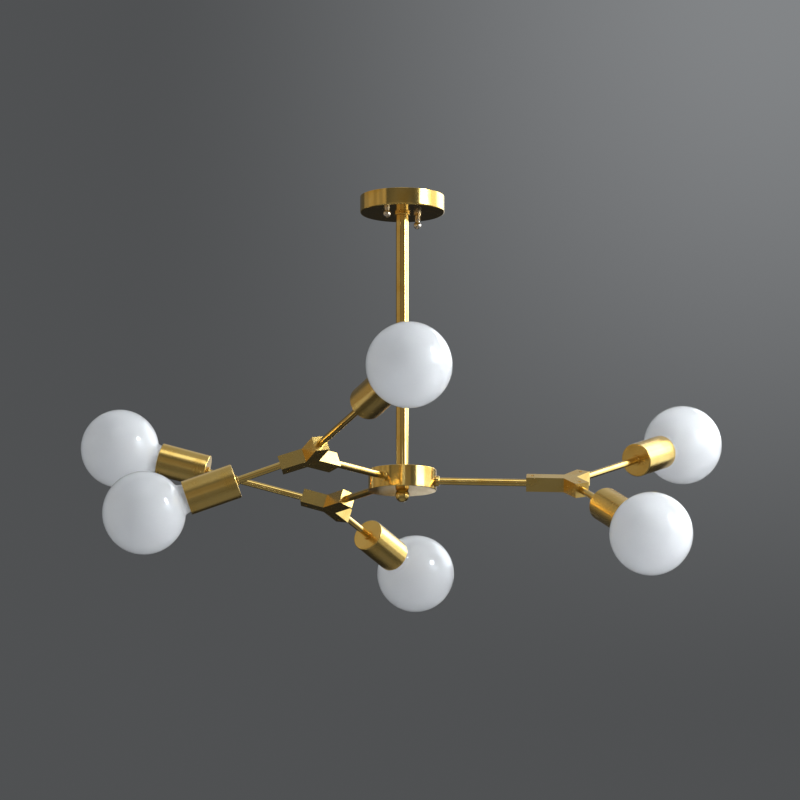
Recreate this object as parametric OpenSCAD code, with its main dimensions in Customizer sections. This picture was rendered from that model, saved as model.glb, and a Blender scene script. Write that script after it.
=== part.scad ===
// Semi-flush ceiling light: three swivelling Y branches on one hub, two opal globe lamps on each.
// Millimetres. Origin at the middle of the ceiling face, +Z up, +X along arm 3.
// Arms 1, 2 and 3 stand 120 degrees apart. Each branch has a long rod and a short rod.

/* [Ceiling bracket] */
// Width of the bracket strip
bracket_w = 20; // [18:1:24]
// Thickness of the bracket strip
bracket_t = 2; // [1.5:0.25:3]
// Angle of the bracket's line from arm 3
bracket_turn = 64; // [0:1:180]
// Distance the stepped ends of the bracket drop, which makes room for the stud heads
bracket_step = 3; // [2.6:0.2:4]
// Clear length between the two steps
bracket_flat = 56; // [54:1:60]
// Distance between the two ceiling screw holes
ceiling_hole_spacing = 42; // [38:1:44]
// Diameter of a ceiling screw hole
ceiling_hole_d = 5; // [4:0.5:6]
// Diameter of the hole that the house wiring comes through
wire_hole_d = 10; // [8:0.5:12]
// Distance between the two canopy studs
stud_spacing = 74; // [72:1:80]
// Thread diameter of a canopy stud
stud_d = 4; // [3:0.5:5]
// Head diameter of a canopy stud
stud_head_d = 7; // [6:0.5:8]
// Head height of a canopy stud
stud_head_h = 2.2; // [1.6:0.1:2.4]
// Metal of the bracket beyond a stud's head
bracket_margin = 4; // [3:0.5:6]
// Thread diameter of the ground screw
ground_d = 4; // [3:0.5:5]
// Head diameter of the ground screw
ground_head_d = 6; // [5.5:0.5:7]
// Head height of the ground screw
ground_head_h = 2.6; // [2:0.2:3]
// Diameter of the washer under that head
ground_washer_d = 6.6; // [6:0.2:7]
// Thickness of that washer
ground_washer_t = 1; // [0.6:0.2:1.4]
// Width and depth of the screwdriver slot
ground_slot = 0.9; // [0.6:0.1:1.2]

/* [Terminal block] */
// Length of the terminal block along the bracket
terminal_l = 24; // [20:1:28]
// Width of the terminal block
terminal_w = 11; // [9:1:13]
// Height of the terminal block
terminal_h = 10; // [8:0.5:11]
// Diameter of a wire port in the terminal block
terminal_port_d = 3.2; // [2.5:0.1:4]
// Width of the slits between the three terminals
terminal_slit = 1; // [0.8:0.1:1.5]
// Metal of the bracket's tab round the terminal block
terminal_margin = 1; // [0.5:0.25:2]

/* [Canopy] */
// Outside diameter of the canopy
canopy_d = 100; // [97:1:130]
// Height of the canopy
canopy_h = 20; // [18:1:40]
// Wall of the canopy
canopy_wall = 1.2; // [1:0.1:1.5]
// Radius of the canopy's lower edge
canopy_edge_r = 2; // [1.8:0.2:4]
// Diameter of the ball on a cap nut
cap_nut_d = 9; // [8:0.5:10]
// Height of a cap nut
cap_nut_h = 12; // [11:0.5:16]
// Diameter of the foot of a cap nut
cap_nut_foot_d = 6.4; // [6:0.2:7]
// Height of that foot
cap_nut_foot_h = 1.4; // [1:0.1:2]
// Distance that the waist of a cap nut is set in from its foot
cap_nut_waist = 0.4; // [0.2:0.1:0.6]

/* [Stem] */
// Distance from the ceiling down to the plane of the arms
drop = 341; // [240:1:900]
// Outside diameter of the stem
stem_d = 15; // [14.5:0.5:20]
// Wall of the stem tube
stem_wall = 1.2; // [1:0.1:1.6]
// Length of the threaded bush in each end of the stem
bush_l = 16; // [14:1:24]
// Diameter of the ring between canopy and stem
ring_d = 18.6; // [17:0.2:24]
// Height of the ring between canopy and stem
ring_h = 2.7; // [2:0.1:5]
// Diameter of the two threaded nipples
nipple_d = 10; // [9:0.5:11]
// Bore of the two threaded nipples
nipple_bore = 7; // [5.5:0.5:7.5]
// Diameter of the cross hole that lets the wires out into the hub
cross_hole_d = 6; // [5:0.5:7]
// Length of a nipple that stands out of its nut in the canopy
nipple_proud = 3; // [2:0.5:4]
// Room left in a bush beyond the end of its nipple
bush_room = 2; // [1:0.5:4]
// Width across the flats of a nipple nut
nipple_nut_af = 14; // [13:0.5:16]
// Height of a nipple nut
nipple_nut_h = 3.5; // [3:0.5:5]

/* [Hub] */
// Outside diameter of the hub
hub_d = 80; // [72:1:110]
// Height of the hub with its cover
hub_h = 25; // [24:1:40]
// Wall of the hub shell
hub_wall = 1.5; // [1.2:0.1:2]
// Radius of the hub's outer edges
hub_edge_r = 0.8; // [0.4:0.1:1.1]
// Thickness of the hub's bottom cover
cover_t = 2; // [1.5:0.25:3]
// Height of the rim that centres the cover in the shell
cover_rim_h = 2; // [1.5:0.5:3]
// Diameter of the ball under the hub
finial_d = 16.5; // [16:0.5:22]
// Height cut off the top of that ball for its flat seat
finial_flat = 3.2; // [3:0.1:3.6]

/* [Arms] */
// Distance from the hub's axis to the start of a connector
arm_reach = 145.5; // [110:0.5:260]
// Diameter of a hub arm
arm_d = 8.5; // [8:0.25:9]
// Bore of a hub arm, for the wires
arm_bore = 5; // [4:0.25:5.5]
// Thread diameter of an arm's inner end
arm_thread_d = 8; // [7:0.25:8]
// Diameter of the shoulder where an arm meets the hub
shoulder_d = 12.5; // [11:0.5:15]
// Length of that shoulder
shoulder_l = 3.5; // [2:0.5:6]
// Width across the flats of an arm nut
arm_nut_af = 13; // [12:0.5:14]
// Height of an arm nut
arm_nut_h = 4; // [3:0.5:5]
// Length of an arm's thread that stands out of its nut
arm_proud = 4; // [2:0.5:5]
// Length of an arm inside its connector
arm_insert = 18; // [14:1:24]
// Droop of arms 1, 2 and 3 below the horizontal, in degrees
arm_droop = [0, 0, 1.6]; // [0:0.1:3]
// Turn of branches 1, 2 and 3 about their arms, in degrees
arm_swivel = [20, 18.4, 24.2]; // [0:0.1:60]

/* [Connectors] */
// Width of a connector's leg
connector_w = 17.5; // [16:0.5:24]
// Thickness of a connector
connector_t = 17; // [16:0.5:24]
// Length of the leg that takes the arm, from the centre of the Y
connector_stem = 49; // [44:1:80]
// Length of a leg that takes a lamp rod, from the centre of the Y
connector_fork = 34; // [32:1:60]
// Angle of each lamp leg from the arm's line
fork_angle = 60; // [50:1:70]
// Diameter of the hole for a lamp rod
rod_hole_d = 11; // [10.6:0.2:12]
// Depth of the hole for a lamp rod
rod_hole_depth = 16; // [15:1:20]
// Diameter of the wire channel that joins the holes
channel_d = 5.5; // [4:0.5:6]
// Diameter of the round hollow where the channels meet
channel_meet_d = 7.5; // [7:0.5:9]
// Thread diameter of a grub screw
grub_d = 4; // [3:0.5:5]
// Distance of a grub screw from the end of its leg
grub_from_end = 7; // [6:0.5:8]
// Depth of a grub screw's outer end below the connector's face
grub_sink = 0.6; // [0.2:0.1:1]
// Depth of a grub screw's hexagon socket
grub_socket = 1.6; // [1:0.1:1.8]
// Width of the groove in the arm's end that the grub screw runs in
groove_w = 5; // [4.8:0.2:6]
// Depth of that groove
groove_depth = 0.7; // [0.5:0.1:0.9]

/* [Lamp rods] */
// Diameter of a lamp rod
rod_d = 8; // [7.5:0.25:8.5]
// Bore of a lamp rod
rod_bore = 5; // [4:0.25:5.5]
// Visible length of a long rod, from connector to lamp cup
long_rod = 121; // [60:1:240]
// Visible length of a short rod, from connector to lamp cup
short_rod = 53; // [30:1:200]
// Length of a rod inside its connector
rod_insert = 14; // [12:1:15]
// Sag of the long rods of branches 1, 2 and 3 in their holes, in degrees
long_sag = [4.6, 0.2, 2.3]; // [0:0.1:5]
// Sag of the short rods of branches 1, 2 and 3 in their holes, in degrees
short_sag = [2.1, 2.2, 4.3]; // [0:0.1:5]
// Sideways lean of the short rods of branches 1, 2 and 3 in their holes, in degrees
short_lean = [0, -2.5, 0]; // [-3:0.1:3]

/* [Lamp cups and lampholders] */
// Outside diameter of a lamp cup
cup_d = 40; // [39.5:0.5:46]
// Length of a lamp cup
cup_l = 60; // [54:1:80]
// Wall of a lamp cup
cup_wall = 1.2; // [1:0.1:1.3]
// Radius of the edge at a cup's closed end
cup_edge_r = 1.4; // [1.3:0.1:3]
// Diameter of the round nut behind a cup
cup_nut_d = 12; // [11:0.5:16]
// Length of the round nut behind a cup
cup_nut_l = 2.5; // [2:0.5:5]
// Outside diameter of a lampholder
holder_d = 35; // [34:0.25:36.5]
// Distance of the lampholder's front from the cup's mouth
holder_inset = 12.5; // [12.5:0.5:15]
// Wall of a lampholder round its screw shell
holder_wall = 3; // [2.5:0.25:3]
// Thickness of the screw shell
shell_t = 0.8; // [0.6:0.1:0.9]
// Distance of the screw shell from the lampholder's floor
shell_lift = 3; // [2.5:0.5:5]
// Distance of the screw shell from the lampholder's front
shell_inset = 2; // [1:0.5:4]
// Diameter of the centre contact
contact_d = 9; // [7:0.5:12]
// Height of the centre contact
contact_h = 1.5; // [1:0.1:2]
// Length of a lamp rod inside a lampholder's base
holder_grip = 9; // [6:1:11]

/* [Bulbs] */
// Diameter of the glass globe
globe_d = 95; // [80:1:125]
// Thickness of the glass
glass_t = 0.9; // [0.7:0.1:1.2]
// Gap between a cup's mouth and its globe
globe_gap = 3.5; // [3:0.5:8]
// Length of a bulb from its globe to the tip of its cap
bulb_tail = 43; // [42:0.5:44]
// Diameter of the glass neck
neck_d = 34; // [32:0.5:35]
// Radius that blends globe and neck
neck_blend_r = 5; // [3:0.5:8]
// Diameter over the thread of the screw cap
cap_d = 26.4; // [26:0.1:26.5]
// Length of the screw cap with its tip
cap_l = 27; // [26:0.5:27]
// Wall of the screw cap
cap_wall = 1.5; // [1:0.1:2]
// Diameter of the cap's contact tip
cap_tip_d = 9.5; // [8:0.5:10]
// Height of the tip below the cap's taper
cap_tip_h = 1; // [0.5:0.1:1.5]
// Small diameter of the taper above the tip
cap_taper_d = 12; // [11:0.5:14]
// Height of that taper
cap_taper_h = 4; // [3:0.5:5]
// Distance from the taper to the first groove of the rolled thread
thread_start = 2.5; // [2:0.5:3]
// Distance between two turns of the rolled thread
thread_pitch = 3.6; // [3.4:0.1:3.8]
// Radius of the thread's round groove
thread_r = 0.88; // [0.7:0.01:1]
// Depth of that groove
thread_depth = 0.6; // [0.4:0.05:0.7]
// Number of thread grooves
thread_turns = 4; // [3:1:4]

/* [Fits] */
// Radial clearance of the turning fit between arm and connector
running_clearance = 0.05; // [0.02:0.01:0.09]
// Radial clearance of fixed threaded and slipped-in parts
thread_clearance = 0.05; // [0.03:0.01:0.1]
// Gap between pieces that move past each other without touching
free_gap = 0.35; // [0.3:0.05:0.5]
// Radial clearance of the cover's rim and of through holes
hole_clearance = 0.15; // [0.1:0.05:0.3]
// Room beyond the end of a stud or nipple in its blind hole
blind_room = 0.5; // [0.2:0.1:1]

/* [Hidden] */
$fn = 96;
thread_fn = 24;
cut = 1;
weld = 0.5;

// Branch sides: the long rod stands left of its arm seen from the hub, the short rod right
LONG = 1;
SHORT = -1;
// Which face of each connector has the grub screws, up or down before the swivel
grub_face = [-1, -1, 1];

// Metal colours
brass = [0.80, 0.66, 0.36];
dark_brass = [0.45, 0.35, 0.16];
steel = [0.72, 0.73, 0.75];
opal = [0.95, 0.96, 0.97];
ceramic = [0.90, 0.89, 0.85];
green = [0.13, 0.45, 0.20];

// Heights on the axis, all below the ceiling
canopy_floor = -canopy_h + canopy_wall;
stem_top = -canopy_h - ring_h;
hub_z = -drop;
hub_top = hub_z + hub_h / 2;
hub_bottom = hub_z - hub_h / 2;
shell_bottom = hub_bottom + cover_t;
stem_l = stem_top - hub_top;

// Bracket layout, along its own line
bracket_end = stud_spacing / 2 + stud_head_d / 2 + bracket_margin;
bracket_under = -bracket_t;
end_top = -bracket_step;
end_under = -bracket_step - bracket_t;
ground_x = (wire_hole_d / 2 + ceiling_hole_spacing / 2 - ceiling_hole_d / 2) / 2;
tab_w = terminal_w + 2 * terminal_margin;
block_edge = bracket_w / 2 + terminal_margin;
stud_tip = -canopy_h - cap_nut_h + cap_nut_d / 2;

// Hub arms, measured from the hub's axis
nut_seat = sqrt(pow(hub_d / 2 - hub_wall, 2) - pow(arm_nut_af / 2 / cos(30), 2)) - thread_clearance;
arm_start = nut_seat - arm_nut_h - arm_proud;
arm_end = arm_reach + arm_insert;
groove_at = arm_reach + grub_from_end;
bore_d = arm_d + 2 * running_clearance;

// Lamp pieces, measured along the rod from the end of the connector's leg
junction_x = arm_reach + connector_stem;
holder_floor_inset = bulb_tail - globe_gap + free_gap + contact_h;
cavity_d = holder_d - 2 * holder_wall;
shell_d = cavity_d - 2 * thread_clearance;

// Outward turn of arm k round the hub
function arm_azimuth(k) = 360 - 120 * k;

// Visible rod length, sag, lean and cup positions of one lamp
function rod_length(side) = side == LONG ? long_rod : short_rod;
function sag(k, side) = side == LONG ? long_sag[k - 1] : short_sag[k - 1];
function lean(k, side) = side == LONG ? 0 : short_lean[k - 1];
function mouth(side) = rod_length(side) + cup_l;
function globe_centre(side) = mouth(side) + globe_gap + globe_d / 2;

// Frame of the bracket: X along its line
module at_bracket() rotate([0, 0, bracket_turn]) children();

// Frame of arm k: X outwards along the arm from the hub's centre, not yet swivelled
module at_arm(k) {
    translate([0, 0, hub_z])
        rotate([0, arm_droop[k - 1], arm_azimuth(k)])
            children();
}

// Frame of branch k: as the arm's, turned with its connector
module at_branch(k) at_arm(k) rotate([arm_swivel[k - 1], 0, 0]) children();

// Frame of one leg of the Y: origin at the end of the leg, X outwards
module at_leg(k, side) {
    at_branch(k)
        translate([junction_x, 0, 0])
            rotate([0, 0, side * fork_angle])
                translate([connector_fork, 0, 0])
                    children();
}

// Frame of one lamp: origin at the end of the leg, Z outwards along the sagging rod
module at_lamp(k, side) at_leg(k, side) rotate([0, 90 + sag(k, side), lean(k, side)]) children();

// Cylinder between two distances along Z
module rod(d, from, to) translate([0, 0, from]) cylinder(d = d, h = to - from);

// Tube between two distances along Z
module tube(d, bore, from, to) {
    difference() {
        rod(d, from, to);
        rod(bore, from - cut, to + cut);
    }
}

// Hexagon nut with its flats in pairs, from a height upwards
module hex_nut(af, bore, from, h) {
    difference() {
        translate([0, 0, from]) cylinder(d = af / cos(30), h = h, $fn = 6);
        rod(bore, from - cut, from + h + cut);
    }
}

// Half section of a round can, its closed end at z 0 with a rounded edge, open side at z h
module can_section(r, h, edge) {
    translate([0, edge]) square([r, h - edge]);
    square([r - edge, edge + cut]);
    translate([r - edge, edge]) circle(r = edge);
}

// Round can with an even wall, closed at z 0 and open at z h
module can(d, h, wall, edge) {
    difference() {
        rotate_extrude() can_section(d / 2, h, edge);
        translate([0, 0, wall])
            rotate_extrude() can_section(d / 2 - wall, h, edge - wall);
    }
}

// Both places of a pair along X
module pair(spacing) for (s = [-1, 1]) translate([s * spacing / 2, 0, 0]) children();

// Ceiling bracket: a stepped strip with a side tab for the terminal block
module mounting_bracket() {
    color(steel) at_bracket() difference() {
        union() {
            translate([-bracket_flat / 2, -bracket_w / 2, bracket_under])
                cube([bracket_flat, bracket_w, bracket_t]);
            translate([-terminal_l / 2 - terminal_margin, 0, bracket_under])
                cube([terminal_l + 2 * terminal_margin, bracket_w / 2 + tab_w, bracket_t]);
            for (s = [0, 1]) mirror([s, 0, 0]) {
                translate([bracket_flat / 2 - bracket_t, -bracket_w / 2, end_under])
                    cube([bracket_t, bracket_w, bracket_t + bracket_step]);
                translate([bracket_flat / 2 - bracket_t, -bracket_w / 2, end_under])
                    cube([bracket_end - bracket_flat / 2 + bracket_t, bracket_w, bracket_t]);
            }
        }
        rod(wire_hole_d, end_under - cut, cut);
        pair(ceiling_hole_spacing) rod(ceiling_hole_d, end_under - cut, cut);
        pair(stud_spacing) rod(stud_d + 2 * thread_clearance, end_under - cut, cut);
        translate([ground_x, 0, 0]) rod(ground_d + 2 * thread_clearance, end_under - cut, cut);
    }
}

// Two studs that hang from the stepped ends, each with its lock nut
module bracket_studs() {
    color(steel) at_bracket() pair(stud_spacing) {
        rod(stud_head_d, end_top, end_top + stud_head_h);
        rod(stud_d, stud_tip, end_top + stud_head_h / 2);
    }
}

// Ground screw with its cup washer, under the bracket
module ground_screw() {
    head_top = bracket_under - ground_washer_t;
    head_end = head_top - ground_head_h;
    color(green) at_bracket() translate([ground_x, 0, 0]) {
        rod(ground_d, head_top - ground_head_h / 2, -free_gap);
        rod(ground_washer_d, head_top, bracket_under);
        difference() {
            rod(ground_head_d, head_end, head_top);
            translate([-ground_head_d, -ground_slot / 2, head_end - cut])
                cube([2 * ground_head_d, ground_slot, ground_slot + cut]);
        }
    }
}

// Three-way terminal block on the bracket's side tab
module terminal_block() {
    pitch = terminal_l / 3;
    color(ceramic) at_bracket() difference() {
        translate([-terminal_l / 2, block_edge, bracket_under - terminal_h])
            cube([terminal_l, terminal_w, terminal_h]);
        for (i = [-1, 0, 1]) translate([i * pitch, block_edge, 0]) {
            translate([0, -cut, bracket_under - terminal_h / 2])
                rotate([-90, 0, 0]) rod(terminal_port_d, 0, terminal_w + 2 * cut);
            translate([0, terminal_w / 2, 0])
                rod(terminal_port_d, bracket_under - terminal_h - cut, bracket_under - terminal_h / 2);
        }
        for (i = [-1, 1])
            translate([(i * pitch - terminal_slit) / 2, block_edge - cut, bracket_under - terminal_h - cut])
                cube([terminal_slit, terminal_w + 2 * cut, terminal_h / 2 + cut]);
    }
}

// Canopy: a shallow can that hides the bracket, open to the ceiling
module canopy() {
    color(brass) difference() {
        translate([0, 0, -canopy_h]) can(canopy_d, canopy_h, canopy_wall, canopy_edge_r);
        rod(nipple_d + 2 * hole_clearance, -canopy_h - cut, 0);
        at_bracket() pair(stud_spacing) rod(stud_d + 2 * hole_clearance, -canopy_h - cut, 0);
    }
}

// Half section of a cap nut: a ball on a waisted foot
module cap_nut_section() {
    ball_r = cap_nut_d / 2;
    waist_r = cap_nut_foot_d / 2 - cap_nut_waist;
    intersection() {
        union() {
            translate([0, -cap_nut_h + ball_r]) circle(r = ball_r);
            translate([0, -cap_nut_h + ball_r]) square([waist_r, cap_nut_h - ball_r]);
            translate([0, -cap_nut_foot_h]) square([cap_nut_foot_d / 2, cap_nut_foot_h]);
        }
        translate([0, -cap_nut_h]) square([cap_nut_d, cap_nut_h]);
    }
}

// Cap nuts that hold the canopy up against the ceiling
module canopy_cap_nuts() {
    color(brass) at_bracket() pair(stud_spacing) difference() {
        translate([0, 0, -canopy_h]) rotate_extrude() cap_nut_section();
        rod(stud_d + 2 * thread_clearance, stud_tip - blind_room, -canopy_h + cut);
    }
}

// Ring that covers the joint between canopy and stem
module canopy_ring() {
    color(brass) tube(ring_d, nipple_d + 2 * hole_clearance, stem_top, -canopy_h);
}

// Threaded nipple that joins canopy and stem
module top_nipple() {
    top = canopy_floor + nipple_nut_h + nipple_proud;
    color(steel) tube(nipple_d, nipple_bore, stem_top - bush_l + bush_room, top);
}

// Lock nuts of the nipples, one in the canopy and one in the hub
module nipple_nuts() {
    bore = nipple_d + 2 * thread_clearance;
    color(steel) {
        hex_nut(nipple_nut_af, bore, canopy_floor, nipple_nut_h);
        hex_nut(nipple_nut_af, bore, hub_top - hub_wall - nipple_nut_h, nipple_nut_h);
    }
}

// Stem tube with a threaded bush in each end
module stem() {
    color(brass) difference() {
        rod(stem_d, hub_top, stem_top);
        rod(nipple_d + 2 * thread_clearance, hub_top - cut, stem_top + cut);
        rod(stem_d - 2 * stem_wall, hub_top + bush_l, stem_top - bush_l);
    }
}

// Threaded nipple from the stem through the hub to the ball, with a cross hole for the wires
module hub_nipple() {
    color(steel) difference() {
        tube(nipple_d, nipple_bore, hub_bottom - finial_d / 2, hub_top + bush_l - bush_room);
        translate([0, 0, hub_z]) rotate([0, 90, 0]) rod(cross_hole_d, -nipple_d, nipple_d);
    }
}

// Hub shell: an upturned can with holes for the nipple and the three arms
module hub_shell() {
    color(brass) difference() {
        translate([0, 0, hub_top]) mirror([0, 0, 1]) difference() {
            rotate_extrude() can_section(hub_d / 2, hub_top - shell_bottom, hub_edge_r);
            rod(hub_d - 2 * hub_wall, hub_wall, hub_h);
        }
        rod(nipple_d + 2 * hole_clearance, hub_z, hub_top + cut);
        for (k = [1, 2, 3]) at_arm(k) rotate([0, 90, 0])
            rod(arm_thread_d + 2 * hole_clearance, hub_d / 4, hub_d);
    }
}

// Flat bottom cover of the hub, centred by a rim
module hub_cover() {
    rim_d = hub_d - 2 * hub_wall - 2 * hole_clearance;
    color(brass) difference() {
        union() {
            translate([0, 0, hub_bottom]) rotate_extrude() can_section(hub_d / 2, cover_t, hub_edge_r);
            tube(rim_d, rim_d - 2 * hub_wall, shell_bottom, shell_bottom + cover_rim_h);
        }
        rod(nipple_d + 2 * hole_clearance, hub_bottom - cut, hub_z);
    }
}

// Ball that screws on the nipple and holds the cover up
module hub_finial() {
    color(brass) difference() {
        translate([0, 0, hub_bottom + finial_flat - finial_d / 2]) sphere(d = finial_d);
        rod(finial_d, hub_bottom, hub_bottom + finial_d);
        rod(nipple_d + 2 * thread_clearance, hub_bottom - finial_d / 2 - blind_room, hub_bottom + cut);
    }
}

// Nuts that hold the arms from inside the hub
module arm_nuts() {
    color(steel) for (k = [1, 2, 3]) at_arm(k) rotate([0, 90, 0])
        hex_nut(arm_nut_af, arm_thread_d + 2 * thread_clearance, nut_seat - arm_nut_h, arm_nut_h);
}

// Hub arm: threaded inner end, shoulder seated on the round hub, grooved outer end
module arm_rod(k) {
    color(brass) difference() {
        union() {
            at_arm(k) rotate([0, 90, 0]) {
                rod(arm_thread_d, arm_start, hub_d / 2 + shoulder_l / 2);
                rod(arm_d, hub_d / 2 + shoulder_l / 2, arm_end);
            }
            difference() {
                at_arm(k) rotate([0, 90, 0]) rod(shoulder_d, hub_d / 2 - shoulder_l, hub_d / 2 + shoulder_l);
                rod(hub_d, hub_bottom - cut, hub_top + cut);
            }
        }
        at_arm(k) rotate([0, 90, 0]) {
            rod(arm_bore, arm_start - cut, arm_end + cut);
            tube(arm_d + cut, arm_d - 2 * groove_depth, groove_at - groove_w / 2, groove_at + groove_w / 2);
        }
    }
}

// Solid Y block: three square-ended legs from one centre
module connector_block() {
    translate([0, 0, -connector_t / 2]) linear_extrude(height = connector_t) {
        translate([-connector_stem, -connector_w / 2]) square([connector_stem, connector_w]);
        for (side = [LONG, SHORT]) rotate(side * fork_angle)
            translate([0, -connector_w / 2]) square([connector_fork, connector_w]);
    }
}

// Threaded hole for a grub screw, from the middle of a leg out of the chosen face
module grub_hole(face) {
    mirror([0, 0, face > 0 ? 0 : 1]) rod(grub_d + 2 * thread_clearance, 0, connector_t);
}

// Y connector: bored for its arm and for two lamp rods, with wire channels between the bores
module connector(k) {
    face = grub_face[k - 1];
    color(brass) at_branch(k) translate([junction_x, 0, 0]) difference() {
        connector_block();
        sphere(d = channel_meet_d);
        rotate([0, -90, 0]) {
            rod(channel_d, 0, connector_stem);
            rod(bore_d, connector_stem - arm_insert - free_gap, connector_stem + cut);
        }
        translate([grub_from_end - connector_stem, 0, 0]) grub_hole(face);
        for (side = [LONG, SHORT]) rotate([0, 0, side * fork_angle]) {
            rotate([0, 90, 0]) {
                rod(channel_d, 0, connector_fork);
                rod(rod_hole_d, connector_fork - rod_hole_depth, connector_fork + cut);
            }
            translate([connector_fork - grub_from_end, 0, 0]) grub_hole(face);
        }
    }
}

// Grub screw from a depth near the rod out to just below the connector's face
module grub_screw(face, from) {
    top = connector_t / 2 - grub_sink;
    mirror([0, 0, face > 0 ? 0 : 1]) difference() {
        rod(grub_d, from, top);
        translate([0, 0, top - grub_socket])
            cylinder(d = grub_d / 2 / cos(30), h = grub_socket + cut, $fn = 6);
    }
}

// The three grub screws of one connector: one runs in the arm's groove, two press on the rods
module grub_screws(k) {
    face = grub_face[k - 1];
    color(dark_brass) {
        at_branch(k) translate([groove_at, 0, 0])
            grub_screw(face, arm_d / 2 - groove_depth + free_gap);
        for (side = [LONG, SHORT]) difference() {
            at_leg(k, side) translate([-grub_from_end, 0, 0]) grub_screw(face, rod_d / 4);
            at_lamp(k, side) rod(rod_d, -rod_insert - cut, cut);
        }
    }
}

// Lamp rod: a tube from the connector to the base of the lampholder
module lamp_rod(k, side) {
    color(brass) at_lamp(k, side)
        tube(rod_d, rod_bore, -rod_insert, rod_length(side) + cup_wall + holder_grip);
}

// Lamp cup: a deep can with a closed back and an open mouth
module lamp_cup(k, side) {
    color(brass) at_lamp(k, side) translate([0, 0, rod_length(side)]) difference() {
        can(cup_d, cup_l, cup_wall, cup_edge_r);
        rod(rod_d + 2 * thread_clearance, -cut, 2 * cup_wall);
    }
}

// Round nuts that lock the two rods against their cups
module cup_nuts(k) {
    color(brass) for (side = [LONG, SHORT]) at_lamp(k, side)
        tube(cup_nut_d, rod_d + 2 * thread_clearance, rod_length(side) - cup_nut_l, rod_length(side));
}

// Lampholder: an insulating body screwed on the end of the rod inside the cup
module lampholder(k, side) {
    back = rod_length(side) + cup_wall;
    front = mouth(side) - holder_inset;
    floor_at = mouth(side) - holder_floor_inset;
    color(ceramic) at_lamp(k, side) difference() {
        rod(holder_d, back, front);
        rod(cavity_d, floor_at, front + cut);
        rod(rod_d + 2 * thread_clearance, back - cut, back + holder_grip);
        rod(rod_bore, back, floor_at + cut);
    }
}

// Screw shell and centre contact of both lampholders of a branch
module holder_contacts(k) {
    color(steel) for (side = [LONG, SHORT]) at_lamp(k, side) {
        floor_at = mouth(side) - holder_floor_inset;
        tube(shell_d, shell_d - 2 * shell_t, floor_at + shell_lift, mouth(side) - holder_inset - shell_inset);
        rod(contact_d, floor_at, floor_at + contact_h);
    }
}

// Half section of the glass: globe, blend and tapered neck, shrunk inwards by t, Y towards the cap
module glass_section(t) {
    r = globe_d / 2 - t;
    neck_r = neck_d / 2 - t;
    blend_r = neck_blend_r + t;
    blend_y = sqrt(pow(globe_d / 2 + neck_blend_r, 2) - pow(neck_d / 2 + neck_blend_r, 2));
    cap_y = globe_d / 2 + bulb_tail - cap_l;
    intersection() {
        translate([0, -globe_d]) square([globe_d, 2 * globe_d]);
        union() {
            circle(r = r);
            difference() {
                polygon([[0, 0], [neck_r + blend_r, blend_y], [0, blend_y]]);
                translate([neck_r + blend_r, blend_y]) circle(r = blend_r);
            }
            polygon([
                [0, blend_y - weld], [neck_r, blend_y - weld], [neck_r, blend_y],
                [cap_d / 2 - t, cap_y], [0, cap_y]
            ]);
        }
    }
}

// Glass of one bulb: a thin opal globe with its neck
module bulb_glass(k, side) {
    color(opal) at_lamp(k, side) translate([0, 0, globe_centre(side)]) mirror([0, 0, 1])
        difference() {
            rotate_extrude() glass_section(0);
            rotate_extrude() glass_section(glass_t);
        }
}

// Screw cap of one bulb: rolled thread, taper and contact tip
module bulb_cap(k, side) {
    base = mouth(side) + globe_gap - bulb_tail;
    taper = base + cap_tip_h;
    shell = taper + cap_taper_h;
    inside_d = cap_d - 2 * cap_wall;
    color(steel) at_lamp(k, side) difference() {
        union() {
            rod(cap_tip_d, base, taper + cap_taper_h / 2);
            translate([0, 0, taper]) cylinder(d1 = cap_taper_d, d2 = inside_d, h = cap_taper_h);
            rod(cap_d, shell, base + cap_l);
        }
        for (i = [0:thread_turns - 1]) translate([0, 0, shell + thread_start + i * thread_pitch])
            rotate_extrude()
                translate([cap_d / 2 + thread_r - thread_depth, 0]) circle(r = thread_r, $fn = thread_fn);
        rod(inside_d, shell + cap_wall, base + cap_l + cut);
    }
}

mounting_bracket();
bracket_studs();
ground_screw();
terminal_block();
canopy();
canopy_cap_nuts();
canopy_ring();
top_nipple();
nipple_nuts();
stem();
hub_nipple();
hub_shell();
hub_cover();
hub_finial();
arm_nuts();
arm_rod(1);  // arm_rod_1
arm_rod(2);  // arm_rod_2
arm_rod(3);  // arm_rod_3
connector(1);  // connector_1
grub_screws(1);  // grub_screws_1
lamp_rod(1, LONG);  // long_rod_1
lamp_rod(1, SHORT);  // short_rod_1
lamp_cup(1, LONG);  // long_cup_1
lamp_cup(1, SHORT);  // short_cup_1
cup_nuts(1);  // cup_nuts_1
lampholder(1, LONG);  // long_holder_1
lampholder(1, SHORT);  // short_holder_1
holder_contacts(1);  // holder_contacts_1
connector(2);  // connector_2
grub_screws(2);  // grub_screws_2
lamp_rod(2, LONG);  // long_rod_2
lamp_rod(2, SHORT);  // short_rod_2
lamp_cup(2, LONG);  // long_cup_2
lamp_cup(2, SHORT);  // short_cup_2
cup_nuts(2);  // cup_nuts_2
lampholder(2, LONG);  // long_holder_2
lampholder(2, SHORT);  // short_holder_2
holder_contacts(2);  // holder_contacts_2
connector(3);  // connector_3
grub_screws(3);  // grub_screws_3
lamp_rod(3, LONG);  // long_rod_3
lamp_rod(3, SHORT);  // short_rod_3
lamp_cup(3, LONG);  // long_cup_3
lamp_cup(3, SHORT);  // short_cup_3
cup_nuts(3);  // cup_nuts_3
lampholder(3, LONG);  // long_holder_3
lampholder(3, SHORT);  // short_holder_3
holder_contacts(3);  // holder_contacts_3
bulb_glass(1, LONG);  // long_bulb_glass_1
bulb_cap(1, LONG);  // long_bulb_cap_1
bulb_glass(1, SHORT);  // short_bulb_glass_1
bulb_cap(1, SHORT);  // short_bulb_cap_1
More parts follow.
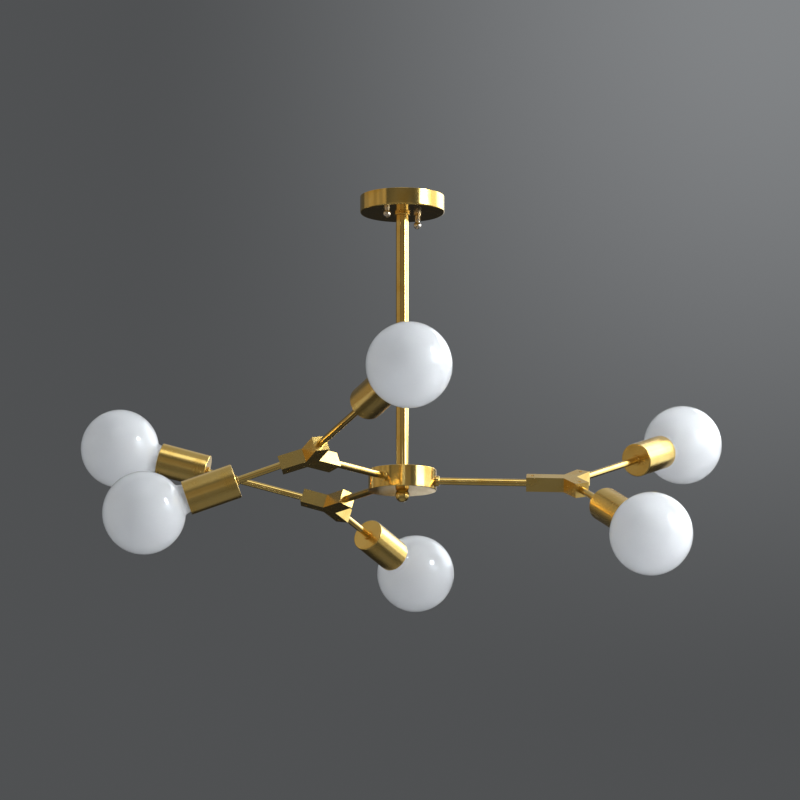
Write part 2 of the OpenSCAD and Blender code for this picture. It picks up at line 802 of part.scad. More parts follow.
bulb_glass(2, LONG);  // long_bulb_glass_2
bulb_cap(2, LONG);  // long_bulb_cap_2
bulb_glass(2, SHORT);  // short_bulb_glass_2
bulb_cap(2, SHORT);  // short_bulb_cap_2
bulb_glass(3, LONG);  // long_bulb_glass_3
bulb_cap(3, LONG);  // long_bulb_cap_3
bulb_glass(3, SHORT);  // short_bulb_glass_3
bulb_cap(3, SHORT);  // short_bulb_cap_3
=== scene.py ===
"""Semi-flush ceiling light: the looks of its pieces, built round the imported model.

Everything is in metres in the model's own frame: origin at the middle of the ceiling
face, +Z up, +X along arm 3. A round piece is turned from a half outline, repeated small
pieces are set out by Geometry Nodes, and each finish is a node material.
"""

import math

import bmesh
import bpy
import numpy as np
from bpy.props import FloatProperty, FloatVectorProperty, IntProperty, PointerProperty
from mathutils import Matrix, Vector


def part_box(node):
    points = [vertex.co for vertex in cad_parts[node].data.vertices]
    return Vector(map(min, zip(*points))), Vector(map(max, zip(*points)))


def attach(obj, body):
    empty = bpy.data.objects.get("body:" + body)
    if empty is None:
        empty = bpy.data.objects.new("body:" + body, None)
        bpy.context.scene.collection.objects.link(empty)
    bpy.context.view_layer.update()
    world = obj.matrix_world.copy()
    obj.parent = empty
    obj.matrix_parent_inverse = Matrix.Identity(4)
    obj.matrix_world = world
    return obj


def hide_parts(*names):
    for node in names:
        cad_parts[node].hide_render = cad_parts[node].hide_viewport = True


bl_info = {
    "name": "Semi-flush ceiling light",
    "version": (1, 0, 0),
    "blender": (4, 5, 0),
    "location": "View3D > Sidebar > Ceiling light",
    "description": "Builds the pieces, finishes and stage of a six-lamp ceiling light",
    "category": "Add Mesh",
}

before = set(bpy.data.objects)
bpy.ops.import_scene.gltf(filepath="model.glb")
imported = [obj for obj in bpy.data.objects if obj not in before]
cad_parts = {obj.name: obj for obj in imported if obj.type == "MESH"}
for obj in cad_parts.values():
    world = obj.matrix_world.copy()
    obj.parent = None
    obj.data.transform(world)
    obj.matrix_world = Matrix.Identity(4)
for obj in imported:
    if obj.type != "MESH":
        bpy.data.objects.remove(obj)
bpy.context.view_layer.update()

# Body that everything fixed to the ceiling rides on, and the two sides of a branch
FIXTURE = "fixture"
LONG, SHORT = 1, -1
SIDES = {LONG: "long", SHORT: "short"}
ARMS = (1, 2, 3)

# Angles in degrees: between arms, from a connector's line to a lamp leg, and for each arm
# its droop, its connector's turn, and its rods' sag and sideways lean
ARM_STEP = 120
LEG_TURN = 60
ARM_DROOP = (0.0, 0.0, 1.6)
ARM_SWIVEL = (20.0, 18.4, 24.2)
SAG = {LONG: (4.6, 0.2, 2.3), SHORT: (2.1, 2.2, 4.3)}
LEAN = {LONG: (0.0, 0.0, 0.0), SHORT: (0.0, -2.5, 0.0)}
BRACKET_TURN = 64.0

# Face of each connector that has the grub screws, 1 for the upper one before its turn
SCREW_FACE = (-1, -1, 1)

# Gaps round a fitted piece, radii of small edges, and two depths that pieces share, in metres
FREE_FIT = 0.00015
CLOSE_FIT = 0.00005
SHARP, KEEN, EASED, SOFT = 0.0001, 0.0002, 0.0003, 0.0005
SHOULDER_SUNK = 0.0009
HOLDER_GRIP = 0.009

# Room: its turn from +Y, the light of its walls and of the patch behind the object
ROOM_TURN = math.radians(3.16)
ROOM_COLOUR = (0.93, 0.965, 1.0)
WALL_LIGHT = 0.0853
GLOW_LIGHT = 0.16

# Lamps: degrees to the right of the camera and up, distance, width, height and radiance.
# A lamp is seen by glossy or by matt light, so that reflections and shade are set apart.
GLOSS, MATT = "gloss", "matt"
LAMP_AIM = Vector((0, 0, -0.3))
LAMP_SPREAD = math.radians(70)
DAYLIGHT = (0.84, 0.92, 1.0)
PALE = (0.92, 0.96, 1.0)
WARM = (1.0, 0.82, 0.52)
LAMPS = (
    ("window", 64, 12, 2.1, 1.15, 0.80, 5.4, GLOSS, DAYLIGHT),
    ("left_pane", 58, 25, 2.0, 0.19, 0.42, 45.0, GLOSS, DAYLIGHT),
    ("right_pane", 65, 25, 2.0, 0.19, 0.42, 45.0, GLOSS, DAYLIGHT),
    ("side_window", 107, 9, 2.3, 2.2, 1.7, 1.5, GLOSS, DAYLIGHT),
    ("back_window", 130, 28, 2.3, 1.7, 1.4, 4.0, GLOSS, DAYLIGHT),
    ("back_panel", 166, 12, 2.4, 0.9, 0.8, 0.6, GLOSS, PALE),
    ("low_right", 85, -24, 2.3, 2.4, 0.9, 0.4, GLOSS, PALE),
    ("front_bounce", 0, 57, 2.6, 1.0, 1.2, 1.3, GLOSS, PALE),
    ("left_wall", -85, 5, 2.5, 4.2, 3.8, 0.20, GLOSS, WARM),
    ("left_panel_1", -94, 8, 2.4, 0.8, 2.4, 0.09, GLOSS, WARM),
    ("left_panel_2", -69, 8, 2.4, 0.3, 2.4, 0.10, GLOSS, WARM),
    ("left_panel_3", -50, 8, 2.4, 0.36, 2.4, 0.12, GLOSS, WARM),
    ("front_wall", -5, 0, 2.6, 3.4, 1.8, 0.12, GLOSS, WARM),
    ("key", 74, 25, 2.3, 0.8, 0.8, 38.0, MATT, PALE),
    ("right_fill", 80, -20, 1.9, 2.0, 2.0, 2.4, MATT, PALE),
    ("left_fill", -95, 0, 2.2, 2.4, 2.4, 2.3, MATT, PALE),
    ("low_fill", 40, -60, 2.2, 2.4, 2.4, 2.9, MATT, PALE),
)


def node_size(node, axis):
    """Size of a CAD node along one axis, 0 to 2."""
    low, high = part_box(node)
    return high[axis] - low[axis]


def node_low(node):
    """Height of the lowest point of a CAD node."""
    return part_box(node)[0].z


# Sizes, finishes and stage values


def length(name, description, default):
    """A length property in metres."""
    texts = {"name": name, "description": description}
    return FloatProperty(**texts, default=default, unit="LENGTH", min=0.0, precision=4)


def tone(name, description, default):
    """A linear colour property."""
    texts = {"name": name, "description": description}
    return FloatVectorProperty(**texts, default=default, subtype="COLOR", min=0.0, max=1.0)


def share(name, description, default):
    """A property between 0 and 1."""
    texts = {"name": name, "description": description}
    return FloatProperty(**texts, default=default, subtype="FACTOR", min=0.0, max=1.0)


class FixtureSizes(bpy.types.PropertyGroup):
    """Sizes of the ceiling light's pieces."""

    canopy_d: length("Canopy diameter", "Outside diameter of the canopy", node_size("canopy", 0))
    canopy_h: length("Canopy height", "Height of the canopy", node_size("canopy", 2))
    canopy_wall: length("Canopy wall", "Thickness of the canopy's sheet", 0.0012)
    canopy_edge: length("Canopy edge", "Radius of the canopy's lower edge", 0.002)
    stud_spacing: length("Stud spacing", "Distance between the two cap nuts", 0.074)
    cap_nut_d: length("Cap nut ball", "Diameter of the ball of a cap nut", 0.009)
    cap_nut_h: length("Cap nut height", "Height of a cap nut", 0.012)
    cap_nut_foot: length("Cap nut foot", "Diameter of a cap nut's foot", 0.0064)
    ring_d: length(
        "Ring diameter", "Diameter of the ring under the canopy", node_size("canopy_ring", 0)
    )
    ring_h: length(
        "Ring height", "Height of the ring under the canopy", node_size("canopy_ring", 2)
    )
    stem_d: length("Stem diameter", "Outside diameter of the stem", node_size("stem", 0))
    nipple_d: length(
        "Nipple diameter", "Thread diameter of the two nipples", node_size("top_nipple", 0)
    )
    drop: length("Drop", "Distance from the ceiling to the plane of the arms", 0.341)
    hub_d: length("Hub diameter", "Outside diameter of the hub", node_size("hub_cover", 0))
    hub_h: length("Hub height", "Height of the hub with its cover", 0.025)
    hub_edge: length("Hub edge", "Radius of the hub's outer edges", 0.0008)
    cover_t: length("Cover thickness", "Thickness of the hub's bottom cover", 0.002)
    finial_d: length(
        "Finial ball", "Diameter of the ball under the hub", node_size("hub_finial", 0)
    )
    arm_reach: length("Arm reach", "Distance from the hub's axis to a connector", 0.1455)
    arm_d: length("Arm diameter", "Diameter of a hub arm", 0.0085)
    shoulder_d: length(
        "Shoulder diameter", "Diameter of the shoulder where an arm meets the hub", 0.0125
    )
    shoulder_l: length("Shoulder length", "Length of that shoulder", 0.0035)
    arm_insert: length("Arm insert", "Length of an arm inside its connector", 0.018)
    connector_w: length("Connector width", "Width of a connector's leg", 0.0175)
    connector_t: length("Connector thickness", "Thickness of a connector", 0.017)
    connector_stem: length("Connector stem", "Length of the leg that takes the arm", 0.049)
    connector_fork: length("Connector fork", "Length of a leg that takes a lamp rod", 0.034)
    connector_edge: length("Connector edge", "Width of the worn edge of a connector", 0.00035)
    grub_d: length("Grub screw", "Thread diameter of a grub screw", 0.004)
    grub_from_end: length(
        "Grub screw place", "Distance of a grub screw from the end of its leg", 0.007
    )
    grub_sink: length("Grub screw sink", "Depth of a grub screw below the face", 0.0006)
    rod_d: length("Lamp rod", "Diameter of a lamp rod", 0.008)
    rod_bore: length("Rod bore", "Bore of arms and lamp rods", 0.005)
    long_rod: length("Long rod", "Visible length of a long rod", 0.121)
    short_rod: length("Short rod", "Visible length of a short rod", 0.053)
    rod_insert: length("Rod insert", "Length of a rod inside its connector", 0.014)
    cup_d: length("Cup diameter", "Outside diameter of a lamp cup", 0.040)
    cup_l: length("Cup length", "Length of a lamp cup", 0.060)
    cup_wall: length("Cup wall", "Thickness of a lamp cup's sheet", 0.0012)
    cup_edge: length("Cup edge", "Radius of the edge at a cup's closed end", 0.0014)
    cup_nut_d: length("Cup nut", "Diameter of the nut behind a cup", 0.012)
    cup_nut_l: length("Cup nut length", "Length of the nut behind a cup", 0.0025)
    cup_nut_ridges: IntProperty(
        name="Cup nut ridges",
        description="Number of grip ridges round a cup nut",
        default=40,
        min=6,
    )
    holder_d: length("Lampholder", "Outside diameter of a lampholder", 0.035)
    holder_inset: length(
        "Lampholder inset", "Distance of a lampholder from the cup's mouth", 0.0125
    )
    holder_floor: length(
        "Lampholder floor", "Distance of a lampholder's floor from the cup's mouth", 0.04135
    )
    holder_wall: length("Lampholder wall", "Wall of a lampholder round its shell", 0.003)
    shell_t: length("Screw shell", "Thickness of the screw shell", 0.0008)
    globe_d: length("Globe", "Diameter of the glass globe", 0.095)
    globe_gap: length("Globe gap", "Gap between a cup's mouth and its globe", 0.0035)
    neck_d: length("Neck", "Diameter of the glass neck", 0.034)
    neck_blend: length("Neck blend", "Radius that blends globe and neck", 0.005)
    bulb_tail: length("Bulb tail", "Length of a bulb from its globe to the tip of its cap", 0.043)
    cap_d: length("Screw cap", "Diameter over the thread of a screw cap", 0.0264)
    cap_l: length("Screw cap length", "Length of a screw cap with its tip", 0.027)
    thread_pitch: length(
        "Cap thread pitch", "Distance between two turns of the cap's thread", 0.0036
    )


class FixtureFinishes(bpy.types.PropertyGroup):
    """Colours and polish of the ceiling light's materials."""

    brass: tone("Brass", "Colour of the polished brass", (0.87, 0.60, 0.19))
    brass_aged: tone("Aged brass", "Colour of the brass where it has dulled", (0.76, 0.43, 0.06))
    polished: share("Polished roughness", "Roughness of the polished brass", 0.13)
    brushed: share("Brushed roughness", "Roughness of the brushed brass", 0.25)
    # Near black: the grub screws' blackened metal, and painted shade for the sunk holes they sit in
    dark_brass: tone("Dark brass", "Colour of the grub screws", (0.020, 0.016, 0.012))
    pale_nut: tone(
        "Cap nuts", "Colour of the pale plated nuts under the canopy", (0.88, 0.76, 0.60)
    )
    zinc: tone("Zinc steel", "Colour of the bracket, studs and nipples", (0.60, 0.62, 0.64))
    opal: tone("Opal glass", "Colour of the globes", (0.84, 0.865, 0.91))
    cap_metal: tone("Cap metal", "Colour of the bulbs' screw caps", (0.72, 0.71, 0.68))
    contact: tone("Contact plating", "Colour of the screw shells and contacts", (0.74, 0.68, 0.55))
    porcelain: tone("Lampholder", "Colour of the lampholders", (0.80, 0.78, 0.72))
    terminal: tone("Terminal block", "Colour of the terminal block", (0.78, 0.76, 0.68))
    green: tone("Ground screw", "Colour of the ground screw's lacquer", (0.04, 0.27, 0.09))


class StageValues(bpy.types.PropertyGroup):
    """Camera, floor and light round the object."""

    lens: FloatProperty(
        name="Lens",
        description="Focal length in millimetres on a 36 mm sensor",
        default=210.8,
        min=10.0,
    )
    camera_at: FloatVectorProperty(
        name="Camera",
        description="Place of the camera",
        default=(0.2959, -5.4068, -1.2588),
        subtype="TRANSLATION",
        unit="LENGTH",
    )
    pitch: FloatProperty(
        name="Pitch",
        description="Upward tilt of the camera",
        default=math.radians(10.604),
        subtype="ANGLE",
    )
    heading: FloatProperty(
        name="Heading",
        description="Turn of the camera from +Y",
        default=math.radians(3.161),
        subtype="ANGLE",
    )
    floor_z: FloatProperty(
        name="Floor height", description="Height of the floor", default=-2.4, unit="LENGTH"
    )
    floor_r: length("Floor radius", "Radius at which the floor has faded out", 2.4)
    floor: tone("Floor", "Colour of the floor", (0.56, 0.56, 0.57))


# Node trees: expressions on sockets, and one method for any other node


class Number:
    """A number socket that can be used in Python expressions."""

    def __init__(self, nodes, socket):
        self.nodes, self.socket = nodes, socket

    def maths(self, operation, *values):
        """Number from one Math node."""
        made = self.nodes.add("ShaderNodeMath", {"operation": operation}, dict(enumerate(values)))
        return Number(self.nodes, made.outputs[0])

    def __add__(self, other):
        return self.maths("ADD", self, other)

    def __sub__(self, other):
        return self.maths("SUBTRACT", self, other)

    def __mul__(self, other):
        return self.maths("MULTIPLY", self, other)

    def __truediv__(self, other):
        return self.maths("DIVIDE", self, other)

    def __pow__(self, other):
        return self.maths("POWER", self, other)

    def __radd__(self, other):
        return self.maths("ADD", other, self)

    def __rsub__(self, other):
        return self.maths("SUBTRACT", other, self)

    def __rmul__(self, other):
        return self.maths("MULTIPLY", other, self)

    def ramp(self, low, high, to_low=0.0, to_high=1.0):
        """Smooth step from one value to another while this number goes from low to high."""
        made = self.nodes.add(
            "ShaderNodeMapRange",
            {"interpolation_type": "SMOOTHSTEP"},
            {"Value": self, "From Min": low, "From Max": high, "To Min": to_low, "To Max": to_high},
        )
        return Number(self.nodes, made.outputs["Result"])


class Nodes:
    """Adds nodes to one tree."""

    def __init__(self, tree):
        self.tree = tree

    def add(self, kind, settings=None, sockets=None):
        """A node of a kind: its settings first, then the values or links of its sockets."""
        node = self.tree.nodes.new(kind)
        for key, value in (settings or {}).items():
            setattr(node, key, value)
        for key, value in (sockets or {}).items():
            if isinstance(value, Number):
                value = value.socket
            if isinstance(value, bpy.types.NodeSocket):
                self.tree.links.new(value, node.inputs[key])
            else:
                node.inputs[key].default_value = value
        return node

    def blend(self, factor, first, second):
        """Colour between two colours."""
        ends = [c if isinstance(c, bpy.types.NodeSocket) else (*c, 1.0) for c in (first, second)]
        sockets = {0: factor, 6: ends[0], 7: ends[1]}
        return self.add("ShaderNodeMix", {"data_type": "RGBA"}, sockets).outputs[2]

    def parts(self, vector):
        """X, Y and Z of a vector as numbers."""
        made = self.add("ShaderNodeSeparateXYZ", None, {0: vector})
        return [Number(self, made.outputs[i]) for i in range(3)]

    def vector(self, x, y, z):
        """Vector socket from three numbers."""
        return self.add("ShaderNodeCombineXYZ", None, {0: x, 1: y, 2: z}).outputs[0]

    def noise(self, vector, scale, detail=2.0, roughness=0.5):
        """Noise between about 0 and 1 at a place."""
        sockets = {"Vector": vector, "Scale": scale, "Detail": detail, "Roughness": roughness}
        return Number(self, self.add("ShaderNodeTexNoise", None, sockets).outputs["Fac"])

    def bump(self, height, distance):
        """Normal raised by a height between 0 and 1."""
        sockets = {"Strength": 1.0, "Distance": distance, "Height": height}
        return self.add("ShaderNodeBump", None, sockets).outputs[0]


def empty_material(name):
    """A material without nodes, and its nodes."""
    material = bpy.data.materials.new(name)
    material.use_nodes = True
    material.node_tree.nodes.clear()
    return material, Nodes(material.node_tree)


def new_material(name, metallic, ior=1.5):
    """A material with a principled shader, its nodes, and the shader."""
    material, nodes = empty_material("finish_" + name)
    sockets = {"Metallic": metallic, "IOR": ior}
    shader = nodes.add("ShaderNodeBsdfPrincipled", None, sockets)
    nodes.add("ShaderNodeOutputMaterial", None, {"Surface": shader.outputs[0]})
    return material, nodes, shader


def finish_with(nodes, shader, colour, roughness, normal=None):
    """Feeds the shader's varying sockets."""
    for key, value in (("Base Color", colour), ("Roughness", roughness), ("Normal", normal)):
        if isinstance(value, Number):
            value = value.socket
        if value is not None:
            nodes.tree.links.new(value, shader.inputs[key])


def own_place(nodes):
    """Place of a point in its piece's own frame: Z along the turned axis."""
    return nodes.add("ShaderNodeAttribute", {"attribute_name": "own_place"}).outputs["Vector"]


def object_place(nodes):
    """Place of a point in the model's frame."""
    return nodes.add("ShaderNodeTexCoord").outputs["Object"]


# Finishes


def polished_brass(finish):
    """Polished brass: near mirror, with faint turning lines and dull clouds."""
    material, nodes, shader = new_material("polished_brass", 1.0)
    place = own_place(nodes)
    x, y, z = nodes.parts(place)
    across = (x * x + y * y) ** 0.5
    lines = nodes.noise(nodes.vector(x * 30, y * 30, (across + z) * 900), 1.0, 2.0, 0.6)
    clouds = nodes.noise(place, 38.0, 3.0)
    smears = nodes.noise(place, 130.0, 2.0, 0.65)
    dull = clouds.ramp(0.42, 0.72) * 0.55 + smears.ramp(0.5, 0.8) * 0.25
    roughness = finish.polished + dull * 0.05 + lines * 0.012
    waves = nodes.noise(nodes.vector(x * 40, y * 40, z * 14), 1.0, 1.0)
    normal = nodes.bump(waves + lines * 0.02, 0.000008)
    shade = nodes.blend(dull + lines * 0.05, finish.brass, finish.brass_aged)
    finish_with(nodes, shader, shade, roughness, normal)
    return material


def brushed_brass(finish):
    """Brass with a satin line finish along the piece."""
    material, nodes, shader = new_material("brushed_brass", 1.0)
    place = own_place(nodes)
    x, y, z = nodes.parts(place)
    fine = nodes.noise(nodes.vector(x * 40, y * 2600, z * 2600), 1.0, 2.0, 0.6)
    wide = nodes.noise(nodes.vector(x * 15, y * 600, z * 600), 1.0, 2.0)
    clouds = nodes.noise(place, 55.0, 3.0)
    grain = fine * 0.6 + wide * 0.4
    roughness = finish.brushed + (grain - 0.5) * 0.03 + clouds.ramp(0.45, 0.75) * 0.05
    normal = nodes.bump(grain, 0.000001)
    dull = clouds.ramp(0.4, 0.8) * 0.45 + grain * 0.08
    shade = nodes.blend(dull, finish.brass, finish.brass_aged)
    finish_with(nodes, shader, shade, roughness, normal)
    return material


def satin_brass(finish):
    """Brass cups: polished, with fine lines round the cup and a softer gleam."""
    material, nodes, shader = new_material("satin_brass", 1.0)
    place = own_place(nodes)
    x, y, z = nodes.parts(place)
    across = (x * x + y * y) ** 0.5
    fine = nodes.noise(nodes.vector(x * 60, y * 60, (across + z) * 2400), 1.0, 2.0, 0.6)
    wide = nodes.noise(nodes.vector(x * 25, y * 25, (across + z) * 420), 1.0, 2.0)
    clouds = nodes.noise(place, 45.0, 3.0)
    grain = fine * 0.6 + wide * 0.4
    roughness = finish.brushed - 0.02 + (grain - 0.5) * 0.08 + clouds.ramp(0.45, 0.75) * 0.05
    normal = nodes.bump(grain, 0.000003)
    dull = clouds.ramp(0.4, 0.8) * 0.40 + grain * 0.22
    shade = nodes.blend(dull, finish.brass, finish.brass_aged)
    finish_with(nodes, shader, shade, roughness, normal)
    return material


def dark_brass(finish):
    """Blackened metal of the grub screws, rubbed bright in places; kept near black, partly as
    painted shade for the holes they sit in.
    """
    material, nodes, shader = new_material("dark_brass", 1.0)
    place = object_place(nodes)
    rubbed = nodes.noise(place, 900.0, 3.0).ramp(0.5, 0.75)
    # The near-black base is the screws' blackened metal and also painted shade of their sunk holes
    colour = nodes.blend(rubbed * 0.06, finish.dark_brass, finish.brass)
    normal = nodes.bump(nodes.noise(place, 2400.0), 0.00002)
    finish_with(nodes, shader, colour, 0.36 - rubbed * 0.12, normal)
    return material


def zinc_steel(finish):
    """Zinc-plated steel with a fine spangle and a few dull spots."""
    material, nodes, shader = new_material("zinc_steel", 1.0)
    place = object_place(nodes)
    cells = nodes.add("ShaderNodeTexVoronoi", {"feature": "F1"}, {"Vector": place, "Scale": 420.0})
    spangle = Number(nodes, cells.outputs["Distance"]).ramp(0.1, 0.7)
    stain = nodes.noise(place, 110.0, 4.0, 0.6).ramp(0.5, 0.8)
    base = nodes.blend(spangle * 0.35, finish.zinc, [c * 0.72 for c in finish.zinc])
    colour = nodes.blend(stain * 0.4, base, (0.36, 0.36, 0.35))
    roughness = 0.26 + spangle * 0.10 + stain * 0.15
    finish_with(nodes, shader, colour, roughness, nodes.bump(spangle, 0.00002))
    return material


def opal_glass(finish):
    """Flashed opal glass: white, glossy, with the faintest unevenness of blown glass."""
    material, nodes, shader = new_material("opal_glass", 0.0, ior=1.52)
    shader.inputs["Subsurface Weight"].default_value = 0.93
    shader.inputs["Subsurface Scale"].default_value = 0.25
    shader.inputs["Subsurface Radius"].default_value = (1.0, 1.0, 1.0)
    place = own_place(nodes)
    _, _, z = nodes.parts(place)
    milk = nodes.noise(place, 22.0, 2.0)
    seeds = nodes.noise(place, 700.0, 1.0).ramp(0.70, 0.82)
    neck = z.ramp(-0.060, -0.044, 1.0, 0.0)
    thin = milk.ramp(0.3, 0.8) * 0.35 + seeds * 0.2 + neck * 0.6
    darker = [c * share_left for c, share_left in zip(finish.opal, (0.90, 0.91, 0.92))]
    shade = nodes.blend(thin, finish.opal, darker)
    waves = nodes.noise(place, 30.0, 1.0)
    finish_with(nodes, shader, shade, 0.012 + milk * 0.02, nodes.bump(waves, 0.00005))
    return material


def turned_metal(name, colour, roughness):
    """Plain turned or rolled sheet metal with fine lines round its axis and handling marks."""
    material, nodes, shader = new_material(name, 1.0)
    place = own_place(nodes)
    x, y, z = nodes.parts(place)
    lines = nodes.noise(nodes.vector(x * 60, y * 60, z * 3000), 1.0, 2.0, 0.6)
    marks = nodes.noise(place, 160.0, 4.0, 0.6).ramp(0.5, 0.8)
    shade = nodes.blend(marks * 0.45 + lines * 0.2, colour, [c * 0.62 for c in colour])
    rough = roughness + lines * 0.08 + marks * 0.10
    finish_with(nodes, shader, shade, rough, nodes.bump(lines, 0.00002))
    return material


def moulded(name, colour, roughness, grain):
    """Moulded body with a fine grain and slight mottling."""
    material, nodes, shader = new_material(name, 0.0)
    place = object_place(nodes)
    fine = nodes.noise(place, grain, 2.0)
    mottle = nodes.noise(place, 70.0, 4.0, 0.6)
    shade = nodes.blend(mottle.ramp(0.4, 0.75) * 0.5, colour, [c * 0.86 for c in colour])
    rough = roughness + (fine - 0.5) * 0.12 + mottle * 0.08
    finish_with(nodes, shader, shade, rough, nodes.bump(fine, 0.00003))
    return material


def green_lacquer(finish):
    """Green lacquer on a screw, chipped to steel on the driven edges."""
    material, nodes, shader = new_material("green_screw", 0.0)
    place = object_place(nodes)
    chips = nodes.noise(place, 1300.0, 3.0, 0.6).ramp(0.60, 0.66)
    nodes.tree.links.new(chips.socket, shader.inputs["Metallic"])
    colour = nodes.blend(chips, finish.green, finish.zinc)
    finish_with(nodes, shader, colour, 0.30 + chips * 0.12, nodes.bump(1 - chips, 0.00004))
    return material


MAKERS = {
    "polished_brass": polished_brass,
    "brushed_brass": brushed_brass,
    "satin_brass": satin_brass,
    "dark_brass": dark_brass,
    "zinc_steel": zinc_steel,
    "opal_glass": opal_glass,
    "lamp_cap": lambda finish: turned_metal("lamp_cap", finish.cap_metal, 0.22),
    "pale_nut": lambda finish: turned_metal("pale_nut", finish.pale_nut, 0.16),
    "plated_contact": lambda finish: turned_metal("plated_contact", finish.contact, 0.28),
    "holder_plastic": lambda finish: moulded("holder_plastic", finish.porcelain, 0.30, 900.0),
    "terminal_plastic": lambda finish: moulded("terminal_plastic", finish.terminal, 0.45, 1600.0),
    "green_screw": green_lacquer,
}
made_finishes = {}


def material_for(name):
    """The named finish, made once."""
    if name not in made_finishes:
        made_finishes[name] = MAKERS[name](bpy.context.scene.fixture_finishes)
    return made_finishes[name]


# Places of the pieces


def turn(degrees, axis):
    """Rotation about an axis."""
    return Matrix.Rotation(math.radians(degrees), 4, axis)


def shift(x, y, z):
    """Move along the axes."""
    return Matrix.Translation((x, y, z))


def bracket_frame():
    """X along the ceiling bracket's line."""
    return turn(BRACKET_TURN, "Z")


def arm_frame(size, k):
    """X outwards along arm k from the hub's centre."""
    return shift(0, 0, -size.drop) @ turn(360 - ARM_STEP * k, "Z") @ turn(ARM_DROOP[k - 1], "Y")


def branch_frame(size, k):
    """As the arm's frame, turned with its connector."""
    return arm_frame(size, k) @ turn(ARM_SWIVEL[k - 1], "X")


def joint_frame(size, k):
    """The centre of connector k."""
    return branch_frame(size, k) @ shift(size.arm_reach + size.connector_stem, 0, 0)


def leg_frame(size, k, side):
    """End of one lamp leg of connector k, X outwards."""
    return joint_frame(size, k) @ turn(side * LEG_TURN, "Z") @ shift(size.connector_fork, 0, 0)


def lamp_frame(size, k, side):
    """End of a lamp leg, Z outwards along the sagging rod."""
    lean, sag = turn(LEAN[side][k - 1], "Z"), turn(90 + SAG[side][k - 1], "Y")
    return leg_frame(size, k, side) @ lean @ sag


def rod_length(size, side):
    """Visible length of a rod, from the end of its leg to its cup."""
    return size.long_rod if side == LONG else size.short_rod


def mouth(size, side):
    """Distance of a cup's mouth from the end of its leg."""
    return rod_length(size, side) + size.cup_l


# Meshes


def arc(centre, radius, start, end, step=6.0):
    """Smooth outline points on an arc, in degrees. A negative radius faces inwards."""
    count = max(2, math.ceil(abs(end - start) / step))
    points = []
    for i in range(count + 1):
        a = math.radians(start + (end - start) * i / count)
        c, s = math.cos(a), math.sin(a)
        r = abs(radius)
        flip = 1 if radius > 0 else -1
        points.append((centre[0] + r * c, centre[1] + r * s, flip * c, flip * s))
    return points


def soften(outline):
    """Rounds corner points to their third value.

    Gives the place, the incoming normal and the outgoing normal of each point.
    """
    count = len(outline)
    area = 0
    for here, after in zip(outline, outline[1:] + outline[:1]):
        area += here[0] * after[1] - after[0] * here[1]
    if area < 0:
        outline = outline[::-1]

    def side(a, b):
        d = Vector((b[0] - a[0], b[1] - a[1])).normalized()
        return Vector((d.y, -d.x))

    made = []
    for i, point in enumerate(outline):
        before, after = outline[i - 1], outline[(i + 1) % count]
        here = Vector(point[:2])
        if len(point) == 4:
            normal = Vector(point[2:])
            made.append((here, normal, normal))
            continue
        n_in, n_out = side(before, point), side(point, after)
        radius = point[2] if len(point) == 3 else 0.0
        if radius <= 0 or n_in.angle(n_out, 0) < 0.01:
            made.append((here, n_in, n_out))
            continue
        d_in = (here - Vector(before[:2])).normalized()
        d_out = (Vector(after[:2]) - here).normalized()
        bend = n_in.angle(n_out)
        convex = d_in.x * d_out.y - d_in.y * d_out.x > 0
        reach = radius * math.tan(bend / 2)
        start = here - d_in * reach
        centre = start - n_in * radius if convex else start + n_in * radius
        steps = max(2, math.ceil(math.degrees(bend) / 18))
        for j in range(steps + 1):
            t = j / steps
            normal = (n_in * math.sin((1 - t) * bend) + n_out * math.sin(t * bend)) / math.sin(bend)
            normal.normalize()
            place = centre + normal * radius if convex else centre - normal * radius
            made.append((place, normal, normal))
    return made


def turned_mesh(name, outline, steps=96):
    """Mesh of a solid turned round Z from its closed half outline, with exact normals."""
    points = soften(outline)
    count = len(points)
    angles = np.arange(steps) * (2 * math.pi / steps)
    cos, sin = np.cos(angles), np.sin(angles)
    verts, first, pole = [], [], []
    for place, _, _ in points:
        first.append(len(verts))
        on_axis = place.x < 1e-7
        pole.append(on_axis)
        if on_axis:
            verts.append((0.0, 0.0, place.y))
        else:
            verts.extend(zip(place.x * cos, place.x * sin, np.full(steps, place.y)))
    faces, normals = [], []
    for i in range(count):
        j = (i + 1) % count
        if pole[i] and pole[j]:
            continue
        n_a, n_b = points[i][2], points[j][1]
        for s in range(steps):
            t = (s + 1) % steps
            corners = [(i, s, n_a), (i, t, n_a), (j, t, n_b), (j, s, n_b)]
            if pole[i]:
                corners = [(i, s, n_a), (j, t, n_b), (j, s, n_b)]
            elif pole[j]:
                corners = [(i, s, n_a), (i, t, n_a), (j, s, n_b)]
            faces.append([first[p] if pole[p] else first[p] + q for p, q, _ in corners])
            normals.extend((n.x * cos[q], n.x * sin[q], n.y) for _, q, n in corners)
    mesh = bpy.data.meshes.new(name)
    mesh.from_pydata(verts, [], faces)
    mesh.shade_smooth()
    mesh.normals_split_custom_set(normals)
    return mesh


def mesh_from(work, name):
    """Mesh from a finished bmesh, which is freed."""
    mesh = bpy.data.meshes.new(name)
    work.to_mesh(mesh)
    work.free()
    return mesh


def linked(name, mesh):
    """An object in the scene for a mesh."""
    thing = bpy.data.objects.new(name, mesh)
    bpy.context.scene.collection.objects.link(thing)
    return thing


def remember_place(mesh):
    """Stores each point's place in the piece's own frame, which its finish follows."""
    places = np.empty(len(mesh.vertices) * 3, np.float32)
    mesh.vertices.foreach_get("co", places)
    own = mesh.attributes.get("own_place")
    if not own:
        own = mesh.attributes.new("own_place", "FLOAT_VECTOR", "POINT")
    own.data.foreach_set("vector", places)


